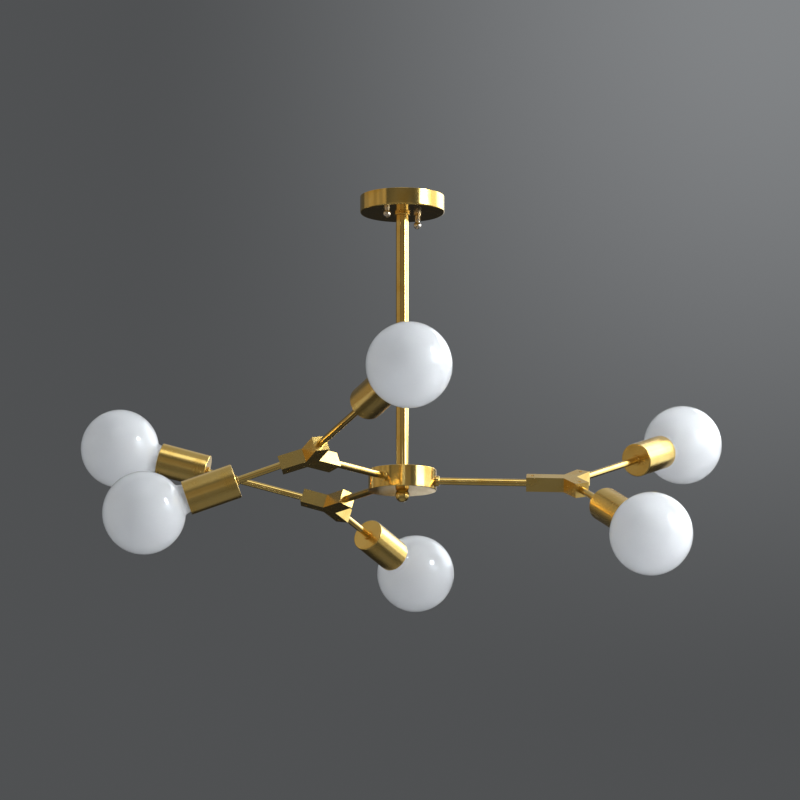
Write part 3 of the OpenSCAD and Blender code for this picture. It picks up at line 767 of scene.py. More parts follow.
def placed(mesh, place):
    """The mesh moved to its place, its normals turned with it."""
    normals = np.empty(len(mesh.loops) * 3, np.float32)
    mesh.corner_normals.foreach_get("vector", normals)
    turned = normals.reshape(-1, 3) @ np.array(place.to_3x3()).T
    mesh.transform(place)
    mesh.normals_split_custom_set(turned.tolist())
    return mesh


def joined(name, meshes):
    """One mesh from several, keeping normals and own places."""
    verts, faces, normals, own = [], [], [], []
    for mesh in meshes:
        base = len(verts)
        verts.extend(v.co.copy() for v in mesh.vertices)
        faces.extend([base + i for i in p.vertices] for p in mesh.polygons)
        normals.extend(n.vector.copy() for n in mesh.corner_normals)
        own.extend(a.vector.copy() for a in mesh.attributes["own_place"].data)
    whole = bpy.data.meshes.new(name)
    whole.from_pydata(verts, [], faces)
    whole.shade_smooth()
    whole.normals_split_custom_set(normals)
    whole.attributes.new("own_place", "FLOAT_VECTOR", "POINT").data.foreach_set(
        "vector", np.array(own, np.float32).ravel()
    )
    return whole


def show(mesh, name, body, finish, *nodes):
    """A finished piece: in the scene, on its body, in its finish, in place of its CAD nodes."""
    piece = linked(name, mesh)
    mesh.materials.clear()
    mesh.materials.append(material_for(finish))
    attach(piece, body)
    if nodes:
        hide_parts(*nodes)
    return piece


def turned_piece(name, outline, place, body, finish, *nodes, steps=96):
    """A turned piece at its place."""
    mesh = turned_mesh(name, outline, steps)
    remember_place(mesh)
    return show(placed(mesh, place), name, body, finish, *nodes)


def dress(node, finish):
    """A carried-over CAD node in its finish."""
    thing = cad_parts[node]
    if not thing.material_slots:
        thing.data.materials.append(None)
    for slot in thing.material_slots:
        slot.material = material_for(finish)


# Geometry Nodes trees


def new_tree(name, inputs):
    """A geometry tree with these named inputs, its nodes, and its input node."""
    tree = bpy.data.node_groups.new(name, "GeometryNodeTree")
    tree.interface.new_socket("Geometry", in_out="INPUT", socket_type="NodeSocketGeometry")
    tree.interface.new_socket("Geometry", in_out="OUTPUT", socket_type="NodeSocketGeometry")
    for label, kind in inputs:
        tree.interface.new_socket(label, in_out="INPUT", socket_type=kind)
    nodes = Nodes(tree)
    return tree, nodes, nodes.add("NodeGroupInput")


def end_tree(nodes, given, geometry):
    """Realize Instances and Set Material at the end of a tree."""
    real = nodes.add("GeometryNodeRealizeInstances", None, {0: geometry})
    paint = {"Geometry": real.outputs[0], "Material": given.outputs["Material"]}
    painted = nodes.add("GeometryNodeSetMaterial", None, paint)
    nodes.add("NodeGroupOutput", None, {0: painted.outputs[0]})


def set_out_tree():
    """Sets a copy of one small piece out on every point, turned by the point's own rotation."""
    found = bpy.data.node_groups.get("set_out")
    if found:
        return found
    tree, nodes, given = new_tree(
        "set_out",
        [
            ("Piece", "NodeSocketObject"),
            ("Scale", "NodeSocketFloat"),
            ("Material", "NodeSocketMaterial"),
        ],
    )
    source = {"Object": given.outputs["Piece"], "As Instance": True}
    piece = nodes.add("GeometryNodeObjectInfo", None, source)
    quaternion = {"data_type": "QUATERNION"}
    aim = nodes.add("GeometryNodeInputNamedAttribute", quaternion, {"Name": "aim"})
    points = nodes.add("GeometryNodeMeshToPoints", None, {"Mesh": given.outputs["Geometry"]})
    copies = nodes.add(
        "GeometryNodeInstanceOnPoints",
        None,
        {
            "Points": points.outputs[0],
            "Instance": piece.outputs["Geometry"],
            "Rotation": aim.outputs["Attribute"],
            "Scale": given.outputs["Scale"],
        },
    )
    end_tree(nodes, given, copies.outputs[0])
    return tree


def ridges_tree():
    """Adds upright ridges round a turned core, as on a knurled nut."""
    found = bpy.data.node_groups.get("ridges")
    if found:
        return found
    tree, nodes, given = new_tree(
        "ridges",
        [
            ("Count", "NodeSocketInt"),
            ("Radius", "NodeSocketFloat"),
            ("Width", "NodeSocketFloat"),
            ("Height", "NodeSocketFloat"),
            ("Middle", "NodeSocketVector"),
            ("Material", "NodeSocketMaterial"),
        ],
    )
    round_core = {"Vertices": given.outputs["Count"], "Radius": given.outputs["Radius"]}
    circle = nodes.add("GeometryNodeMeshCircle", None, round_core)
    lifted = {"Geometry": circle.outputs[0], "Translation": given.outputs["Middle"]}
    ring = nodes.add("GeometryNodeTransform", None, lifted)
    ridge = nodes.add(
        "GeometryNodeMeshCylinder",
        None,
        {"Vertices": 8, "Radius": given.outputs["Width"], "Depth": given.outputs["Height"]},
    )
    spread = {"Points": ring.outputs[0], "Instance": ridge.outputs[0]}
    copies = nodes.add("GeometryNodeInstanceOnPoints", None, spread)
    whole = nodes.add("GeometryNodeJoinGeometry")
    for part in (copies.outputs[0], given.outputs["Geometry"]):
        tree.links.new(part, whole.inputs[0])
    end_tree(nodes, given, whole.outputs[0])
    return tree


def thread_tree():
    """Adds a rounded screw thread to a turned core: one ridge that follows a helix."""
    found = bpy.data.node_groups.get("screw_thread")
    if found:
        return found
    tree, nodes, given = new_tree(
        "screw_thread",
        [
            ("Radius", "NodeSocketFloat"),
            ("Pitch", "NodeSocketFloat"),
            ("Length", "NodeSocketFloat"),
            ("Ridge", "NodeSocketFloat"),
            ("Start", "NodeSocketVector"),
            ("Steps a turn", "NodeSocketInt"),
            ("Material", "NodeSocketMaterial"),
        ],
    )
    turns = Number(nodes, given.outputs["Length"]) / Number(nodes, given.outputs["Pitch"])
    helix = nodes.add(
        "GeometryNodeCurveSpiral",
        None,
        {
            "Resolution": given.outputs["Steps a turn"],
            "Rotations": turns,
            "Start Radius": given.outputs["Radius"],
            "End Radius": given.outputs["Radius"],
            "Height": given.outputs["Length"],
        },
    )
    lifted = {"Geometry": helix.outputs[0], "Translation": given.outputs["Start"]}
    raised = nodes.add("GeometryNodeTransform", None, lifted)
    rounded = {"Resolution": 8, "Radius": given.outputs["Ridge"]}
    section = nodes.add("GeometryNodeCurvePrimitiveCircle", {"mode": "RADIUS"}, rounded)
    ridge = nodes.add(
        "GeometryNodeCurveToMesh",
        None,
        {"Curve": raised.outputs[0], "Profile Curve": section.outputs[0], "Fill Caps": True},
    )
    smooth = nodes.add("GeometryNodeSetShadeSmooth", None, {0: ridge.outputs[0]})
    whole = nodes.add("GeometryNodeJoinGeometry")
    for part in (smooth.outputs[0], given.outputs["Geometry"]):
        tree.links.new(part, whole.inputs[0])
    end_tree(nodes, given, whole.outputs[0])
    return tree


def through_tree(mesh, tree, values):
    """The mesh after a geometry tree with these named inputs, as a plain mesh."""
    host = linked("host", mesh)
    modifier = host.modifiers.new("tree", "NODES")
    modifier.node_group = tree
    for item in tree.interface.items_tree:
        if item.in_out == "INPUT" and item.name in values:
            modifier[item.identifier] = values[item.name]
    bpy.context.view_layer.update()
    seen = host.evaluated_get(bpy.context.evaluated_depsgraph_get())
    result = bpy.data.meshes.new_from_object(seen)
    host.modifiers.remove(modifier)
    bpy.data.objects.remove(host)
    return result


def set_out(name, piece_mesh, places, finish):
    """One mesh with a copy of a small piece at every place."""
    piece = linked("pattern", piece_mesh)
    points = bpy.data.meshes.new(name)
    points.from_pydata([p.translation for p in places], [], [])
    aim = points.attributes.new("aim", "QUATERNION", "POINT")
    for item, place in zip(aim.data, places):
        item.value = place.to_quaternion()
    values = {"Piece": piece, "Scale": 1.0, "Material": material_for(finish)}
    made = through_tree(points, set_out_tree(), values)
    bpy.data.objects.remove(piece)
    made.name = name
    return made


def threaded(mesh, radius, pitch, span, ridge, start, finish, steps=48):
    """A turned mesh with a screw thread on it."""
    made = through_tree(
        mesh,
        thread_tree(),
        {
            "Radius": radius,
            "Pitch": pitch,
            "Length": span,
            "Ridge": ridge,
            "Start": (0.0, 0.0, start),
            "Steps a turn": steps,
            "Material": material_for(finish),
        },
    )
    remember_place(made)
    return made


# Operators: one for each group of pieces


class Maker:
    """What the operators share: their sizes."""

    bl_options = {"REGISTER", "UNDO"}

    @property
    def size(self):
        return bpy.context.scene.fixture_sizes


class FIXTURE_OT_mounting(Maker, bpy.types.Operator):
    """Finish the ceiling bracket, its studs and screws, the terminal block and the nipples"""

    bl_idname = "fixture.mounting"
    bl_label = "Mounting parts"

    def execute(self, context):
        ceiling_parts = ("mounting_bracket", "bracket_studs", "top_nipple", "nipple_nuts")
        for node in (*ceiling_parts, "hub_nipple", "arm_nuts"):
            dress(node, "zinc_steel")
        dress("ground_screw", "green_screw")
        dress("terminal_block", "terminal_plastic")
        return {"FINISHED"}


class FIXTURE_OT_canopy(Maker, bpy.types.Operator):
    """Make the canopy, the ring under it and its two cap nuts"""

    bl_idname = "fixture.canopy"
    bl_label = "Canopy"

    def execute(self, context):
        s = self.size
        wall, edge, bore = s.canopy_wall, s.canopy_edge, s.nipple_d / 2 + FREE_FIT
        outer, inner = s.canopy_d / 2, s.canopy_d / 2 - wall
        shell = [
            (bore, 0, SHARP),
            (outer, 0, edge),
            (outer, s.canopy_h, EASED),
            (inner, s.canopy_h, EASED),
            (inner, wall, edge - wall),
            (bore, wall, SHARP),
        ]
        place = shift(0, 0, -s.canopy_h)
        turned_piece("canopy_shell", shell, place, FIXTURE, "polished_brass", "canopy", steps=192)
        rim, rim_edge = s.ring_d / 2, 0.0007
        ring = [(bore, 0, KEEN), (rim, 0, rim_edge), (rim, s.ring_h, KEEN), (bore, s.ring_h, SHARP)]
        place = shift(0, 0, -s.canopy_h - s.ring_h)
        turned_piece("stem_ring", ring, place, FIXTURE, "polished_brass", "canopy_ring")
        spots = [shift(side * s.stud_spacing / 2, 0, -s.canopy_h) for side in (-1, 1)]
        places = [bracket_frame() @ spot for spot in spots]
        nuts = set_out("cap_nuts", self.cap_nut(s), places, "pale_nut")
        show(nuts, "cap_nuts", FIXTURE, "pale_nut", "canopy_cap_nuts")
        return {"FINISHED"}

    def cap_nut(self, s):
        """A ball on a waisted, flanged foot, its foot at z 0."""
        waist_in, flange, fillet = 0.0004, 0.0014, 0.0006
        ball, foot, waist = s.cap_nut_d / 2, s.cap_nut_foot / 2, s.cap_nut_foot / 2 - waist_in
        middle = -s.cap_nut_h + ball
        meet = math.degrees(math.acos(waist / ball))
        under = middle + ball * math.sin(math.radians(meet)) + EASED
        outline = [(0, 0), (0, middle - ball, 0, -1)]
        outline += arc((0.0, middle), ball, -84, meet - 1, 7)
        outline += [(waist, under, fillet), (waist, -flange, EASED)]
        outline += [(foot, -flange, EASED), (foot, 0, SHARP)]
        mesh = turned_mesh("cap_nut", outline, 64)
        remember_place(mesh)
        return mesh


class FIXTURE_OT_stem(Maker, bpy.types.Operator):
    """Make the stem tube between canopy and hub"""

    bl_idname = "fixture.stem"
    bl_label = "Stem"

    def execute(self, context):
        s = self.size
        r, bore = s.stem_d / 2, s.nipple_d / 2
        bottom, top = -s.drop + s.hub_h / 2, -s.canopy_h - s.ring_h
        tube = [(bore, bottom), (r, bottom, EASED), (r, top, EASED), (bore, top)]
        place = Matrix.Identity(4)
        turned_piece("stem_tube", tube, place, FIXTURE, "polished_brass", "stem", steps=128)
        return {"FINISHED"}


class FIXTURE_OT_hub(Maker, bpy.types.Operator):
    """Make the hub shell, its bottom cover and the ball that holds the cover"""

    bl_idname = "fixture.hub"
    bl_label = "Hub"

    def execute(self, context):
        s = self.size
        wall, lip, seam_edge = 0.0015, 0.002, 0.00015
        r, bore, edge = s.hub_d / 2, s.nipple_d / 2 + FREE_FIT, s.hub_edge
        top, bottom = s.hub_h / 2, -s.hub_h / 2
        seam, rim = bottom + s.cover_t, r - wall - FREE_FIT
        centre = shift(0, 0, -s.drop)
        shell = [
            (bore, top),
            (r, top, edge),
            (r, seam, seam_edge),
            (r - wall, seam),
            (r - wall, top - wall),
            (bore, top - wall),
        ]
        turned_piece("hub_drum", shell, centre, FIXTURE, "polished_brass", "hub_shell", steps=192)
        cover = [
            (bore, bottom),
            (r, bottom, edge),
            (r, seam, seam_edge),
            (rim, seam),
            (rim, seam + lip, KEEN),
            (rim - wall, seam + lip, KEEN),
            (rim - wall, seam),
            (bore, seam),
        ]
        turned_piece("hub_plate", cover, centre, FIXTURE, "polished_brass", "hub_cover", steps=192)
        ball, low = s.finial_d / 2, node_low("hub_finial")
        seat = math.degrees(math.asin((-s.drop + bottom - low - ball) / ball))
        finial = [(0, low, 0, -1)] + arc((0, low + ball), ball, -86, seat, 5)
        finial[-1] = finial[-1][:2]
        finial += [(0, -s.drop + bottom)]
        place = Matrix.Identity(4)
        turned_piece("hub_ball", finial, place, FIXTURE, "polished_brass", "hub_finial")
        return {"FINISHED"}


class FIXTURE_OT_arms(Maker, bpy.types.Operator):
    """Make the three hub arms with their shoulders"""

    bl_idname = "fixture.arms"
    bl_label = "Arms"

    def execute(self, context):
        s = self.size
        screwed_r, screwed_l, shoulder_edge = 0.004, 0.012, 0.0006
        groove_half, groove_depth = 0.0025, 0.0007
        r, bore, hub = s.arm_d / 2, s.rod_bore / 2, s.hub_d / 2
        end, groove = s.arm_reach + s.arm_insert, s.arm_reach + s.grub_from_end
        seat, shoulder = hub - SHOULDER_SUNK, hub + s.shoulder_l
        outline = [
            (bore, seat - screwed_l),
            (screwed_r, seat - screwed_l, SOFT),
            (screwed_r, seat),
            (s.shoulder_d / 2, seat),
            (s.shoulder_d / 2, shoulder, shoulder_edge),
            (r, shoulder, EASED),
            (r, groove - groove_half),
            (r - groove_depth, groove - groove_half),
            (r - groove_depth, groove + groove_half),
            (r, groove + groove_half),
            (r, end, SOFT),
            (bore, end),
        ]
        for k in ARMS:
            place = arm_frame(s, k) @ turn(90, "Y")
            name, node = f"hub_arm_{k}", f"arm_rod_{k}"
            turned_piece(name, outline, place, FIXTURE, "polished_brass", node)
        return {"FINISHED"}


class FIXTURE_OT_connectors(Maker, bpy.types.Operator):
    """Make the three Y connectors with their bores and grub screws"""

    bl_idname = "fixture.connectors"
    bl_label = "Connectors"

    def execute(self, context):
        s = self.size
        for k in ARMS:
            body, name = f"branch_{k}", f"set_screws_{k}"
            mesh = self.block(s, k)
            self.remember_grain(mesh)
            block = placed(mesh, joint_frame(s, k))
            show(block, f"y_block_{k}", body, "brushed_brass", f"connector_{k}")
            screws = set_out(name, self.screw(s), self.screw_places(s, k), "dark_brass")
            show(screws, name, body, "dark_brass", f"grub_screws_{k}")
        return {"FINISHED"}

    def remember_grain(self, mesh):
        """Own places turned leg by leg, so that the brushed lines follow each leg's sides."""
        fork_start = -0.004
        places = np.empty((len(mesh.loops), 3), np.float32)
        for polygon in mesh.polygons:
            centre = polygon.center
            lean = 0
            if abs(polygon.normal.z) < 0.5 and centre.x > fork_start:
                lean = LONG if centre.y > 0 else SHORT
            back = turn(-LEG_TURN * lean, "Z")
            for i in polygon.loop_indices:
                places[i] = back @ mesh.vertices[mesh.loops[i].vertex_index].co
        own = mesh.attributes.new("own_place", "FLOAT_VECTOR", "CORNER")
        own.data.foreach_set("vector", places.ravel())

    def outline(self, s):
        """The Y seen from above, its centre at the origin and its stem towards -X."""
        half, slope = s.connector_w / 2, math.radians(LEG_TURN)
        along = Vector((math.cos(slope), math.sin(slope)))
        across = Vector((-math.sin(slope), math.cos(slope)))
        outer = Vector((-half * (1 - math.cos(slope)) / math.sin(slope), half))
        inner = Vector((half / math.sin(slope), 0))
        tip, end = along * s.connector_fork, Vector((-s.connector_stem, half))
        upper = [inner, tip - across * half, tip + across * half, outer, end]
        lower = [Vector((p.x, -p.y)) for p in upper[:0:-1]]
        return lower + upper

    def block(self, s, k):
        """The Y block with its blind bores and screw holes, its edges slightly worn."""
        work = bmesh.new()
        low, high = -s.connector_t / 2, s.connector_t / 2
        base = work.faces.new([work.verts.new((p.x, p.y, low)) for p in self.outline(s)])
        lifted = bmesh.ops.extrude_face_region(work, geom=[base])["geom"]
        upper = [g for g in lifted if isinstance(g, bmesh.types.BMVert)]
        bmesh.ops.translate(work, vec=(0, 0, high - low), verts=upper)
        bmesh.ops.recalc_face_normals(work, faces=work.faces)
        block = linked("block", mesh_from(work, "block"))
        drills = self.drills(s, k)
        for drill in drills:
            cut = block.modifiers.new("bore", "BOOLEAN")
            cut.operation, cut.solver, cut.object = "DIFFERENCE", "EXACT", drill
        worn = block.modifiers.new("edge", "BEVEL")
        worn.width, worn.segments, worn.limit_method = s.connector_edge, 3, "ANGLE"
        worn.angle_limit, worn.harden_normals = math.radians(40), True
        bpy.context.view_layer.update()
        seen = block.evaluated_get(bpy.context.evaluated_depsgraph_get())
        made = bpy.data.meshes.new_from_object(seen)
        for thing in (block, *drills):
            bpy.data.objects.remove(thing)
        return made

    def drills(self, s, k):
        """Cutters for the arm's bore, the two rod bores and the three screw holes."""
        past, arm_room, rod_room, steps = 0.004, 0.00035, 0.0003, 64
        flip = turn(0 if SCREW_FACE[k - 1] > 0 else 180, "X")
        arm_r, arm_end = s.arm_d / 2 + CLOSE_FIT, s.connector_stem - s.arm_insert - arm_room
        rod_r, rod_end = s.rod_d / 2 + FREE_FIT, -s.rod_insert - rod_room
        screw_r, over = s.grub_d / 2 + CLOSE_FIT, s.connector_t / 2 + past
        at_stem = shift(s.grub_from_end - s.connector_stem, 0, 0) @ flip
        cuts = [(turn(-90, "Y"), arm_r, arm_end, s.connector_stem + past)]
        cuts.append((at_stem, screw_r, 0.0, over))
        for side in SIDES:
            leg, lean = turn(side * LEG_TURN, "Z"), turn(LEAN[side][k - 1], "Z")
            tip = leg @ shift(s.connector_fork, 0, 0) @ lean @ turn(90 + SAG[side][k - 1], "Y")
            at_leg = leg @ shift(s.connector_fork - s.grub_from_end, 0, 0) @ flip
            cuts += [(tip, rod_r, rod_end, past), (at_leg, screw_r, 0.0, over)]
        made = []
        for place, radius, low, high in cuts:
            rod = turned_mesh("drill", [(0, low), (radius, low), (radius, high), (0, high)], steps)
            rod.transform(place)
            made.append(linked("drill", rod))
        return made

    def screw(self, s):
        """A grub screw with a hexagon socket, its outer face at z 0, its body towards -Z."""
        chamfer, depth, body, steps = 0.0003, 0.0016, 0.003, 48
        flat, outer = math.cos(math.radians(30)), s.grub_d / 2
        corner = s.grub_d / 4 / flat
        angles = [i * 2 * math.pi / steps for i in range(steps)]
        work = bmesh.new()

        def ring(z, radius):
            """Points at one height, at a radius for each angle."""
            places = [(radius(a) * math.cos(a), radius(a) * math.sin(a), z) for a in angles]
            return [work.verts.new(place) for place in places]

        def hexagon(a):
            return corner * flat / math.cos((a % (math.pi / 3)) - math.pi / 6)

        face = ring(0.0, lambda a: outer - chamfer)
        rim = ring(-chamfer, lambda a: outer)
        end = ring(-body, lambda a: outer)
        mouth_ring = ring(0.0, hexagon)
        floor_ring = ring(-depth, hexagon)
        loops = [floor_ring, mouth_ring, face, rim, end]
        for first, second in zip(loops, loops[1:]):
            for i in range(steps):
                j = (i + 1) % steps
                work.faces.new((first[i], second[i], second[j], first[j]))
        work.faces.new(floor_ring)
        work.faces.new(list(reversed(end)))
        bmesh.ops.recalc_face_normals(work, faces=work.faces)
        mesh = mesh_from(work, "grub")
        remember_place(mesh)
        return mesh

    def screw_places(self, s, k):
        """The three screws' places, their outer faces just below the connector's face."""
        flip = turn(0 if SCREW_FACE[k - 1] > 0 else 180, "X")
        lift = flip @ shift(0, 0, s.connector_t / 2 - s.grub_sink)
        places = [joint_frame(s, k) @ shift(s.grub_from_end - s.connector_stem, 0, 0) @ lift]
        places += [leg_frame(s, k, side) @ shift(-s.grub_from_end, 0, 0) @ lift for side in SIDES]
        return places


class FIXTURE_OT_rods(Maker, bpy.types.Operator):
    """Make the six lamp rods"""

    bl_idname = "fixture.rods"
    bl_label = "Lamp rods"

    def execute(self, context):
        s = self.size
        r, bore, start, edge = s.rod_d / 2, s.rod_bore / 2, -s.rod_insert, 0.0004
        for side, word in SIDES.items():
            end = rod_length(s, side) + s.cup_wall + HOLDER_GRIP
            outline = [(bore, start, EASED), (r, start, edge), (r, end, edge), (bore, end, EASED)]
            for k in ARMS:
                name, node = f"{word}_lamp_rod_{k}", f"{word}_rod_{k}"
                place = lamp_frame(s, k, side)
                turned_piece(name, outline, place, f"branch_{k}", "polished_brass", node)
        return {"FINISHED"}


class FIXTURE_OT_cups(Maker, bpy.types.Operator):
    """Make the six lamp cups and the knurled nuts behind them"""

    bl_idname = "fixture.cups"
    bl_label = "Lamp cups"

    def execute(self, context):
        s = self.size
        r, wall, bore = s.cup_d / 2, s.cup_wall, s.rod_d / 2 + CLOSE_FIT
        cup = [
            (bore, 0, SHARP),
            (r, 0, s.cup_edge),
            (r, s.cup_l, SOFT),
            (r - wall, s.cup_l, SOFT),
            (r - wall, wall, KEEN),
            (bore, wall),
        ]
        nut = self.nut(s)
        for k in ARMS:
            body, places = f"branch_{k}", []
            for side, word in SIDES.items():
                place = lamp_frame(s, k, side) @ shift(0, 0, rod_length(s, side))
                name, node = f"{word}_lamp_cup_{k}", f"{word}_cup_{k}"
                turned_piece(name, cup, place, body, "satin_brass", node, steps=160)
                places.append(place)
            nuts = set_out(f"knurled_nuts_{k}", nut, places, "polished_brass")
            show(nuts, f"knurled_nuts_{k}", body, "polished_brass", f"cup_nuts_{k}")
        return {"FINISHED"}

    def nut(self, s):
        """A knurled ring that ends at z 0."""
        ridge, plain_end, back_edge = 0.0003, 0.0004, 0.0004
        core, bore = s.cup_nut_d / 2 - ridge, s.rod_d / 2 + CLOSE_FIT
        back = -s.cup_nut_l
        outline = [(bore, back), (core, back, back_edge), (core, 0, KEEN), (bore, 0)]
        sizes = {
            "Count": s.cup_nut_ridges,
            "Radius": core,
            "Width": ridge,
            "Height": s.cup_nut_l - 2 * plain_end,
            "Middle": (0.0, 0.0, back / 2),
            "Material": material_for("polished_brass"),
        }
        made = through_tree(turned_mesh("nut", outline, 80), ridges_tree(), sizes)
        remember_place(made)
        return made


class FIXTURE_OT_lampholders(Maker, bpy.types.Operator):
    """Make the six lampholders with their screw shells and contacts"""

    bl_idname = "fixture.lampholders"
    bl_label = "Lampholders"

    def execute(self, context):
        s = self.size
        back_edge, front_edge, mouth_edge = 0.0008, 0.0009, 0.0006
        r, rod, bore = s.holder_d / 2, s.rod_d / 2 + CLOSE_FIT, s.rod_bore / 2
        cavity = r - s.holder_wall
        for k in ARMS:
            body, metal = f"branch_{k}", []
            for side, word in SIDES.items():
                place, back = lamp_frame(s, k, side), rod_length(s, side) + s.cup_wall
                front, floor = mouth(s, side) - s.holder_inset, mouth(s, side) - s.holder_floor
                outline = [
                    (rod, back),
                    (r, back, back_edge),
                    (r, front, front_edge),
                    (cavity, front, mouth_edge),
                    (cavity, floor),
                    (bore, floor),
                    (bore, back + HOLDER_GRIP),
                    (rod, back + HOLDER_GRIP),
                ]
                name, node = f"{word}_lampholder_{k}", f"{word}_holder_{k}"
                turned_piece(name, outline, place, body, "holder_plastic", node)
                metal.append(placed(self.shell(s, cavity, floor, front), place))
                metal.append(placed(self.contact(s, floor), place))
            name = f"lamp_contacts_{k}"
            show(joined(name, metal), name, body, "plated_contact", f"holder_contacts_{k}")
        return {"FINISHED"}

    def shell(self, s, cavity, floor, front):
        """The thin screw shell with its rolled thread."""
        above_floor, below_front, plain_end = 0.003, 0.002, 0.0015
        ridge, ridge_out = 0.00035, 0.0001
        outer, low, high = cavity - CLOSE_FIT, floor + above_floor, front - below_front
        inner, span = outer - s.shell_t, high - low - 2 * plain_end
        outline = [(inner, low), (outer, low), (outer, high, KEEN), (inner, high, KEEN)]
        core = turned_mesh("shell", outline, 96)
        r, start, finish = inner + ridge_out, low + plain_end, "plated_contact"
        return threaded(core, r, s.thread_pitch, span, ridge, start, finish)

    def contact(self, s, floor):
        """The domed centre contact."""
        thickness, r = 0.0015, s.rod_bore / 2 + 0.002
        top = floor + thickness
        mesh = turned_mesh("contact", [(0, floor), (r, floor), (r, top, SOFT), (0, top)], 64)
        remember_place(mesh)
        return mesh


class FIXTURE_OT_bulbs(Maker, bpy.types.Operator):
    """Make the six opal globe bulbs with their screw caps"""

    bl_idname = "fixture.bulbs"
    bl_label = "Bulbs"

    def execute(self, context):
        s = self.size
        kinds = (
            (self.glass(s), "globe", "opal_glass", "bulb_glass"),
            (self.cap(s), "screw_cap", "lamp_cap", "bulb_cap"),
        )
        for side, word in SIDES.items():
            centre = mouth(s, side) + s.globe_gap + s.globe_d / 2
            for k in ARMS:
                place, body = lamp_frame(s, k, side) @ shift(0, 0, centre), f"{word}_bulb_{k}"
                for mesh, name, finish, node in kinds:
                    made = placed(mesh.copy(), place)
                    show(made, f"{word}_{name}_{k}", body, finish, f"{word}_{node}_{k}")
        return {"FINISHED"}

    def glass(self, s):
        """Outer skin of the glass, its neck towards -Z and its globe's centre at the origin."""
        r, neck, blend, neck_edge = s.globe_d / 2, s.neck_d / 2, s.neck_blend, 0.002
        rise = math.sqrt((r + blend) ** 2 - (neck + blend) ** 2)
        meet = math.degrees(math.atan2(rise, neck + blend))
        end, cap_r = r + s.bulb_tail - s.cap_l, s.cap_d / 2
        outline = [(cap_r, -end), (neck, -rise, neck_edge)]
        outline += arc((neck + blend, -rise), -blend, 180, 180 - meet)[1:]
        outline += arc((0, 0), r, -meet, 87, 3)[1:]
        outline += [(0, r, 0, 1), (0, -end)]
        mesh = turned_mesh("glass", outline, 160)
        remember_place(mesh)
        return mesh

    def cap(self, s):
        """Screw cap with a rolled thread, an insulating taper and a contact tip."""
        tip_r, tip_h, tip_edge = 0.00475, 0.0018, 0.0010
        taper_r, taper_start, taper_end, shell_start = 0.0062, 0.0022, 0.0050, 0.0060
        core_in, taper_in, wall = 0.0009, 0.0018, 0.0015
        neck_start, neck_end, bend, taper_edge = 0.0040, 0.0026, 0.0008, 0.0006
        ridge, ridge_in, thread_start, plain_shell = 0.00095, 0.0001, 0.0072, 0.0125
        tip = -(s.globe_d / 2 + s.bulb_tail)
        top, r = tip + s.cap_l, s.cap_d / 2
        core = r - core_in
        outline = [
            (0, tip),
            (tip_r, tip, tip_edge),
            (tip_r, tip + tip_h),
            (taper_r, tip + taper_start, EASED),
            (r - taper_in, tip + taper_end, taper_edge),
            (core, tip + shell_start, bend),
            (core, top - neck_start, bend),
            (r, top - neck_end, bend),
            (r, top, KEEN),
            (r - wall, top),
            (r - wall, tip + shell_start),
            (0, tip + shell_start),
        ]
        shell = turned_mesh("cap", outline, 96)
        span, start = top - tip - plain_shell, tip + thread_start
        return threaded(shell, core - ridge_in, s.thread_pitch, span, ridge, start, "lamp_cap", 64)


# Stage


